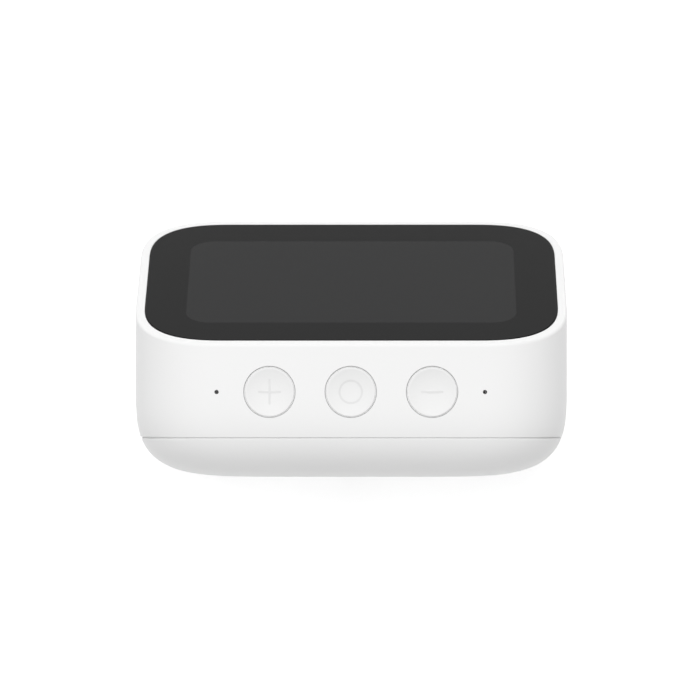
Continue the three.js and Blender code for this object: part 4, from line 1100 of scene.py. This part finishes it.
SOCKET_SKIN = 0.3
socket_span = socket_high - socket_low
socket_section = (
    (0.35, socket_low.y), (0.1, socket_low.y + 0.1), (0, socket_low.y + 0.35),
    (0, socket_high.y - 0.12), (0.05, socket_high.y - 0.02), (0.15, socket_high.y),
    (0.25, socket_high.y - 0.02), (SOCKET_SKIN, socket_high.y - 0.12),
    (SOCKET_SKIN, socket_low.y + SOCKET_SKIN),
)
socket_rings = [
    stadium_ring(socket_span.x - 2 * inset, socket_span.z - 2 * inset, y) for inset, y in socket_section
]
socket_mesh = to_mesh(loft(socket_rings, cap=True, count=PORT_STEPS), "usb_socket")
tongue_low, tongue_high = cad_box("usb_tongue")
tongue = box_between(tongue_low, tongue_high)
round_edges(tongue, list(tongue.edges), 0.12, 3)
tongue_mesh = to_mesh(tongue, "usb_tongue")

# %% [markdown]
# ## Finishes of the other pieces
#
# Rubber, steel, circuit board, film, paper and cloth each get their own small program. The parts
# of the record say which piece takes which finish, so one loop dresses every piece that stays.

# %% Rubbers and black plastics


def tinted(tone, tint):
    return tuple(min(tone * part, 1.0) for part in tint) + (1.0,)


def grainy(name, tone, tint, grain, gloss, height):
    """A matt or satin finish with a fine grain and a slow drift of tone."""
    finish = Finish(name)
    point = finish.place()
    fine = finish.noise(point, grain, detail=4.0, roughness=0.65)
    drift = finish.noise(point, 9.0, detail=2.0)
    light = tinted(tone * 1.25, tint)
    dark = tinted(tone * 0.75, tint)
    finish.paint(fine * 0.5 + drift * 0.5, dark, light)
    finish.feed(Roughness=gloss + (fine - 0.5) * 0.2)
    finish.relief(fine, 0.6, height)
    return finish.material


grey_rubber = grainy("grey_rubber", 0.28, (1, 1, 1.01), 0.4, 0.78, 0.03)
black_rubber = grainy("black_rubber", 0.018, (1, 1, 1), 0.5, 0.82, 0.03)
black_plastic = grainy("black_plastic", 0.022, (1, 1, 1.05), 0.22, 0.5, 0.012)
chip_black = grainy("chip_black", 0.02, (1, 1, 1.04), 0.12, 0.55, 0.01)
foam_tape = grainy("foam_tape", 0.012, (1, 1, 1), 0.3, 0.9, 0.06)
red_sleeve = grainy("red_sleeve", 0.30, (1.0, 0.07, 0.05), 0.8, 0.42, 0.005)

# %% [markdown]
# Sheet steel keeps the marks of its rolls, so its noise is stretched along one direction. Plated
# parts are blotchy instead. The panel's polariser is nearly black with the faint grid of its rows.

# %% Metals and panel


def metal(name, tone, tint, gloss, stretch):
    finish = Finish(name, Metallic=1.0)
    point = finish.add("ShaderNodeMapping", {}, finish.place(), Scale=stretch)
    streak = finish.noise(point, 0.8, detail=5.0, roughness=0.6)
    blotch = finish.noise(finish.place(), 5.0, detail=3.0)
    light = tinted(tone * 1.12, tint)
    dark = tinted(tone * 0.85, tint)
    finish.paint(streak * 0.5 + blotch * 0.5, dark, light)
    finish.feed(Roughness=gloss + (streak - 0.5) * 0.3 + (blotch - 0.5) * 0.15)
    finish.relief(streak, 0.3, 0.004)
    return finish.material


stamped_steel = metal("stamped_steel", 0.62, (1, 1, 1.01), 0.32, (0.12, 1.0, 1.0))
dark_steel = metal("dark_steel", 0.22, (1, 1, 1.03), 0.42, (1.0, 1.0, 1.0))
screw_steel = metal("screw_steel", 0.45, (1, 1, 1.02), 0.3, (1.0, 1.0, 0.3))

PANEL_ROW_PITCH = 0.108


def polariser():
    finish = Finish("panel_glass", Roughness=0.25)
    across = finish.parts(finish.place())[0]
    rows = across.wave(PANEL_ROW_PITCH) * 0.5 + 0.5
    finish.paint(rows, (0.006, 0.006, 0.007, 1), (0.014, 0.014, 0.016, 1))
    return finish.material


panel_glass = polariser()
print("metals", stamped_steel.name, dark_steel.name, screw_steel.name)

# %% [markdown]
# A circuit board is fibreglass under a green lacquer. Copper tracks show through it as lighter
# lines, slightly raised, and where the lacquer is left open the pads are bright. Square cells from
# a rounded coordinate give tracks that keep to a grid, as a layout program draws them.

# %% Circuit board, flat cable, winding


def circuit_board():
    finish = Finish("board_green", IOR=1.5)
    point = finish.place()
    squares = {"distance": "CHEBYCHEV", "feature": "F1"}
    diamonds = {"distance": "MANHATTAN", "feature": "F1"}
    cells = finish.add("ShaderNodeTexVoronoi", squares, Vector=point, Scale=0.45)
    spots = finish.add("ShaderNodeTexVoronoi", diamonds, Vector=point, Scale=0.28)
    tracks = (cells * 6.0).maths("FRACT").ramp(0.62, 0.78)
    pads = 1 - spots.ramp(0.10, 0.13)
    weave = finish.noise(point, 0.5, detail=3.0)
    lacquer = finish.blend(tracks, (0.006, 0.060, 0.026, 1), (0.014, 0.110, 0.045, 1))
    lacquer = finish.blend(weave * 0.35, lacquer, (0.010, 0.080, 0.036, 1))
    finish.paint(pads, lacquer, (0.72, 0.60, 0.34, 1))
    finish.feed(Metallic=pads, Roughness=0.32 + weave * 0.12)
    finish.relief(tracks + pads, 0.5, 0.03)
    return finish.material


def copper_striped(name, film, copper, pitch, gloss):
    """Film over parallel copper lines that run along the piece."""
    finish = Finish(name)
    across = finish.parts(finish.place())[0]
    lines = across.wave(pitch).ramp(-0.2, 0.2)
    grain = finish.noise(finish.place(), 1.5, detail=3.0)
    finish.paint(lines * 0.7 + grain * 0.2, film, copper)
    finish.feed(Roughness=gloss + grain * 0.15)
    finish.relief(lines, 0.5, 0.02)
    return finish.material


WIRE_PITCH = 0.22


def wound_copper():
    finish = Finish("copper", Metallic=1.0, Roughness=0.32)
    along = finish.parts(finish.place())[1]
    turns = along.wave(WIRE_PITCH) * 0.5 + 0.5
    finish.paint(turns, (0.30, 0.10, 0.035, 1), (0.72, 0.33, 0.16, 1))
    finish.relief(turns, 1.0, 0.05)
    return finish.material


board_green = circuit_board()
amber_film = copper_striped("amber_film", (0.34, 0.12, 0.015, 1), (0.55, 0.24, 0.06, 1), 0.6, 0.28)
copper = wound_copper()
print("board, film and winding ready")

# %% [markdown]
# The cone is pressed from paper pulp: fibres lie every way, and fine ridges run outwards. The cloth
# behind the holes is an open plain weave, made of two crossing waves. Both read the angle and the
# distance from the driver's axis, or the upright plane, from Object coordinates.

# %% Cone pulp, weave, contacts
CONE_RIDGES = 60
THREAD_SPACING = 0.42
CONTACT_PITCH = 0.5


def pulp():
    finish = Finish("cone_black", Specular_IOR_Level=0.3)
    point = finish.place()
    fibre = finish.noise(point, 0.25, detail=6.0, roughness=0.75)
    x, _, z = finish.parts(point)
    angle = x.maths("ARCTAN2", z - SPEAKER_Z)
    ridge = angle.wave(2 * math.pi / CONE_RIDGES) * 0.5 + 0.5
    finish.paint(fibre, (0.010, 0.010, 0.011, 1), (0.045, 0.044, 0.043, 1))
    finish.feed(Roughness=0.62 + fibre * 0.25)
    finish.relief(fibre + ridge * 0.4, 0.7, 0.05)
    return finish.material


def woven():
    finish = Finish("grille_cloth", Specular_IOR_Level=0.25)
    x, _, z = finish.parts(finish.place())
    thread = x.wave(THREAD_SPACING) * z.wave(THREAD_SPACING) * 0.5 + 0.5
    fuzz = finish.noise(finish.place(), 0.15, detail=4.0)
    share = thread * 0.8 + fuzz * 0.2
    finish.paint(share, (0.008, 0.008, 0.009, 1), (0.05, 0.05, 0.052, 1))
    finish.feed(Roughness=0.85 + fuzz * 0.1)
    finish.relief(thread + fuzz * 0.2, 0.9, 0.09)
    return finish.material


def contact_tongue():
    """Black nylon with a row of gold-plated contacts on both faces."""
    finish = Finish("contact_tongue")
    x, y, _ = finish.parts(finish.place())
    comb = x.wave(CONTACT_PITCH, "COSINE").ramp(-0.1, 0.1)
    inside = (1 - abs(x).ramp(2.9, 2.95)) * y.ramp(tongue_high.y - 2.6, tongue_high.y - 2.55)
    gold = comb * inside * (1 - y.ramp(tongue_high.y - 0.45, tongue_high.y - 0.4))
    grain = finish.noise(finish.place(), 0.2)
    finish.paint(gold, (0.02, 0.02, 0.022, 1), (0.83, 0.60, 0.24, 1))
    finish.feed(Metallic=gold, Roughness=0.45 - gold * 0.2 + grain * 0.1)
    return finish.material


cone_black = pulp()
grille_cloth = woven()
print("pulp, weave and contacts ready")

# %% Dress the small outer pieces
# The black ring in the glass gap is painted shade for the gap's shadow.
finish_piece(gap_shade_ring_mesh, "glass_gap_shade_ring", black_rubber, "housing", "black_rubber")
finish_piece(foot_mesh, "foot_pad_silicone", grey_rubber, "housing", "grey_rubber", ["foot_pad"])
finish_piece(socket_mesh, "usb_socket_shell", stamped_steel, "housing", "stamped_steel", ["usb_socket"])
contacts = contact_tongue()
finish_piece(tongue_mesh, "usb_socket_tongue", contacts, "housing", "black_plastic", ["usb_tongue"])

# %% [markdown]
# ## Loudspeaker
#
# The driver is all turned parts. Each one is a profile of radius and depth, spun about the
# driver's axis. The depths are measured on the CAD nodes, so the moving cone and its neighbours
# keep the clearances that the motion needs.

# %% Loudspeaker parts
DRIVER_STEPS = 96


def depth_of(name):
    low, high = cad_box(name)
    return low.y, high.y, (high.x - low.x) / 2


def driver_part(name, profile, material, slot, body="housing", cutters=(), steps=DRIVER_STEPS):
    shape = turned(profile, (0, 0, SPEAKER_Z), axis="Y", steps=steps)
    mesh = to_mesh(shape, name)
    if cutters:
        mesh = carve(mesh, cutters=cutters)
    finish_piece(mesh, f"{name}_turned", material, body, slot, [name])


def soft_ring(inner, outer, start, end, ease=0.12):
    """A ring's profile with its four edges eased."""
    return [
        (inner, start + ease), (inner + ease, start), (outer - ease, start), (outer, start + ease),
        (outer, end - ease), (outer - ease, end), (inner + ease, end), (inner, end - ease),
        (inner, start + ease),
    ]


def soft_disc(radius, start, end, ease=0.15):
    rim = [(radius - ease, start), (radius, start + ease), (radius, end - ease), (radius - ease, end)]
    return [(0, start), *rim, (0, end)]


yoke_start, yoke_end, yoke_radius = depth_of("speaker_yoke")
coil_start, coil_end, coil_radius = depth_of("voice_coil")
basket_start, basket_end, basket_radius = depth_of("speaker_basket")
print(f"driver from {yoke_start:.1f} to {basket_end:.1f} mm, radius {basket_radius:.1f}")

# %% Magnet system and coil
YOKE_WALL = 2.4
YOKE_FLOOR = 1.6
COIL_WALL = 0.5
yoke_inner = yoke_radius - YOKE_WALL
driver_part("speaker_yoke", [
    (0, yoke_start), (yoke_radius - 0.4, yoke_start), (yoke_radius, yoke_start + 0.4),
    (yoke_radius, yoke_end - 0.15), (yoke_radius - 0.15, yoke_end), (yoke_inner + 0.1, yoke_end),
    (yoke_inner, yoke_end - 0.1), (yoke_inner, yoke_start + YOKE_FLOOR), (0, yoke_start + YOKE_FLOOR),
], dark_steel, "dark_steel")
for name, steel, slot in (
    ("speaker_magnet", stamped_steel, "stamped_steel"),
    ("speaker_top_plate", dark_steel, "dark_steel"),
):
    start, end, radius = depth_of(name)
    driver_part(name, soft_disc(radius, start, end), steel, slot)
coil_profile = soft_ring(coil_radius - COIL_WALL, coil_radius, coil_start, coil_end, 0.08)
driver_part("voice_coil", coil_profile, copper, "copper", "cone_assembly")

# %% Basket, gasket and cloth
THROAT = basket_radius - 3.2
BASKET_SKIN = 0.9
BASKET_WINDOW = Vector((7, 4, 50))
WINDOW_AT = 4.6
baffle_start, baffle_end, _ = depth_of("speaker_baffle")
seat_inner = yoke_radius + 0.3
throat_inner = THROAT - BASKET_SKIN
basket_profile = [
    (seat_inner, basket_start), (yoke_radius + 2.6, basket_start), (THROAT, baffle_start - 1),
    (THROAT, baffle_end + 0.2), (basket_radius - 0.2, baffle_end + 0.2), (basket_radius, baffle_end + 0.4),
    (basket_radius, basket_end - 0.2), (basket_radius - 0.2, basket_end), (throat_inner, basket_end),
    (throat_inner, baffle_start - 1), (yoke_radius + 2.4, basket_start + BASKET_SKIN),
    (seat_inner, basket_start + BASKET_SKIN), (seat_inner, basket_start),
]
basket_windows = []
for quarter_turn in range(4):
    half = Vector((BASKET_WINDOW.x / 2, BASKET_WINDOW.y / 2, 0))
    window = box_between(-half, half + Vector((0, 0, BASKET_WINDOW.z)))
    round_edges(window, upright_edges(window), 1.2, 5)
    spin = Matrix.Rotation(math.pi / 4 + quarter_turn * math.pi / 2, 3, "Y")
    bmesh.ops.rotate(window, matrix=spin, verts=window.verts)
    bmesh.ops.translate(window, vec=(0, basket_start + WINDOW_AT, SPEAKER_Z), verts=window.verts)
    basket_windows.append(window)
driver_part("speaker_basket", basket_profile, black_plastic, "black_plastic", cutters=basket_windows)
start, end, radius = depth_of("speaker_gasket")
gasket_profile = soft_ring(THROAT + 0.6, radius, start, end, 0.2)
driver_part("speaker_gasket", gasket_profile, black_rubber, "black_rubber")
start, end, radius = depth_of("grille_cloth")
driver_part("grille_cloth", soft_disc(radius, start, end, 0.1), grille_cloth, "grille_cloth")

# %% Cone, dust cap, surround and spider
CONE_SKIN = 0.45
CONE_FOOT = 0.75
CONE_CURVE = 1.25
CAP_SKIN = 0.4
cone_start, cone_end, cone_radius = depth_of("speaker_cone")
coil_inner = coil_radius - COIL_WALL
cone_under, cone_over = [], []
for k in range(11):
    out, up = k / 10, (k / 10) ** CONE_CURVE
    under = cone_start + (cone_end - CONE_SKIN - cone_start) * up
    over = cone_start + CONE_FOOT + (cone_end - cone_start - CONE_FOOT) * up
    cone_under.append((coil_radius + (cone_radius - coil_radius) * out, under))
    cone_over.insert(0, (coil_inner + (cone_radius - coil_inner) * out, over))
cone_foot = (coil_inner, cone_start)
cone_profile = [cone_foot, (coil_radius, cone_start), *cone_under, *cone_over, cone_foot]
driver_part("speaker_cone", cone_profile, cone_black, "cone_black", "cone_assembly")

cap_start, cap_end, cap_radius = depth_of("dust_cap")
cap_rise = cap_end - cap_start - CAP_SKIN
dome = [(cap_radius * k / 8, cap_start + cap_rise * (1 - (k / 8) ** 2)) for k in range(9)]
dust_profile = dome + [(radius, height + CAP_SKIN) for radius, height in reversed(dome)]
driver_part("dust_cap", dust_profile, cone_black, "cone_black", "cone_assembly")

roll_start, _, roll_outer = depth_of("speaker_surround")
roll_inner = cone_radius + 0.3
roll_middle = (roll_outer + roll_inner) / 2
roll_height = (roll_outer - roll_inner) / 2
roll = arc(roll_middle, roll_start, roll_height, 0, 180, 16)
roll += arc(roll_middle, roll_start, roll_height - CONE_SKIN, 180, 0, 16)
roll.append(roll[0])
driver_part("speaker_surround", roll, black_rubber, "black_rubber")

SPIDER_WAVES = 3.5
SPIDER_RISE = 0.08
SPIDER_HALF_SKIN = 0.09
SPIDER_POINTS = 42
spider_start, spider_end, spider_radius = depth_of("speaker_spider")
spider_inner = coil_radius + 0.4
spider_middle = (spider_start + spider_end) / 2
corrugated = []
for k in range(SPIDER_POINTS + 1):
    share = k / SPIDER_POINTS
    rise = SPIDER_RISE * math.sin(share * SPIDER_WAVES * 2 * math.pi)
    corrugated.append((spider_inner + (spider_radius - spider_inner) * share, spider_middle + rise))
spider = [(radius, height - SPIDER_HALF_SKIN) for radius, height in corrugated]
spider += [(radius, height + SPIDER_HALF_SKIN) for radius, height in reversed(corrugated)]
spider.append(spider[0])
driver_part("speaker_spider", spider, amber_film, "amber_film")

# %% [markdown]
# ## Screws
#
# Every screw is the same small pan-head screw. The head has a cross recess and the shaft a thread,
# here a stack of turned ridges, because a real helix can't be told from them at this size.

# %% Screws
SCREW_RADIUS = 0.9
SCREW_HEAD = 1.9
SCREW_HEAD_HEIGHT = 1.0
THREAD_PITCH = 0.7
THREAD_CORE = SCREW_RADIUS * 0.74
HEAD_SIDE = 0.45
SCREW_LENGTHS = {"bracket": 3.6, "board": 3.4}


def screw_solid(shaft):
    """A screw with its head's underside at zero and its shaft pointing down."""
    profile = [(0, -shaft), (SCREW_RADIUS * 0.35, -shaft + 0.15)]
    height = -shaft + 0.5
    ridge = ((THREAD_CORE, 0), (SCREW_RADIUS, 0.35), (SCREW_RADIUS, 0.45), (THREAD_CORE, 0.8))
    while height < -0.5:
        profile += [(radius, height + THREAD_PITCH * share) for radius, share in ridge]
        height += THREAD_PITCH
    profile += [(SCREW_RADIUS * 0.8, 0), (SCREW_HEAD - 0.1, 0), (SCREW_HEAD, 0.1)]
    profile.append((SCREW_HEAD, SCREW_HEAD_HEIGHT * HEAD_SIDE))
    for a in quarter[1:]:
        rise = HEAD_SIDE + (1 - HEAD_SIDE) * math.sin(a)
        profile.append((SCREW_HEAD * math.cos(a), SCREW_HEAD_HEIGHT * rise))
    return turned(profile, steps=SMALL_STEPS)


def cross_recess():
    """Two crossed blades that narrow towards their tips, for cutting the head."""
    blades = []
    for turn_angle in (0, math.pi / 2):
        blade = bmesh.new()
        bmesh.ops.create_cube(blade, size=1)
        for vert in blade.verts:
            taper, height = (1.0, 1.4) if vert.co.z > 0 else (0.45, 0.35)
            vert.co = Vector((vert.co.x * 2.0 * taper, vert.co.y * 0.42 * taper, height))
        bmesh.ops.rotate(blade, matrix=Matrix.Rotation(turn_angle, 3, "Z"), verts=blade.verts)
        blades.append(blade)
    return blades


for name in sorted(name for name in nodes if "screw_" in name):
    low, high = cad_box(name)
    kind = name.split("_")[0]
    if kind == "speaker":
        shaft_way = Vector((0, 1, 0))
        length = high.y - low.y
    elif kind in SCREW_LENGTHS:
        shaft_way = FACE_OUT
        length = SCREW_LENGTHS[kind] + SCREW_HEAD_HEIGHT
    else:
        shaft_way = Vector((0, 0, 1))
        length = high.z - low.z
    screw_mesh = carve(to_mesh(screw_solid(length - SCREW_HEAD_HEIGHT), name), cutters=cross_recess())
    turn_over = Vector((0, 0, -1)).rotation_difference(shaft_way).to_matrix().to_4x4()
    offset = shaft_way * (length / 2 - SCREW_HEAD_HEIGHT)
    screw_mesh.transform(Matrix.Translation((middle_of(name) - offset) * MM) @ turn_over)
    finish_piece(screw_mesh, f"{name}_threaded", screw_steel, "housing", "screw_steel", [name])

# %% [markdown]
# ## Dressing the CAD pieces that stay
#
# Boards, brackets, leads and the like already have the right shape. The record lists each node's
# material slot, and a table here says which finish stands for which slot.

# %% Dress the CAD pieces
finish_of_slot = {
    "white_shell": white_shell,
    "button_white": white_button,
    "panel_glass": panel_glass,
    "black_tape": foam_tape,
    "stamped_steel": stamped_steel,
    "dark_steel": dark_steel,
    "screw_steel": screw_steel,
    "board_green": board_green,
    "chip_black": chip_black,
    "amber_film": amber_film,
    "grey_rubber": grey_rubber,
    "black_rubber": black_rubber,
    "black_plastic": black_plastic,
    "cone_black": cone_black,
    "copper": copper,
    "grille_cloth": grille_cloth,
    "red_sleeve": red_sleeve,
}
dressed = []
for part in frame["record"]["subparts"]:
    node = nodes[part["node"]]
    if node.hide_render:
        continue
    node.data.materials.clear()
    node.data.materials.append(finish_of_slot[part["material_slot"]])
    dressed.append(node.name)
print("dressed", len(dressed), "CAD nodes:", ", ".join(dressed))
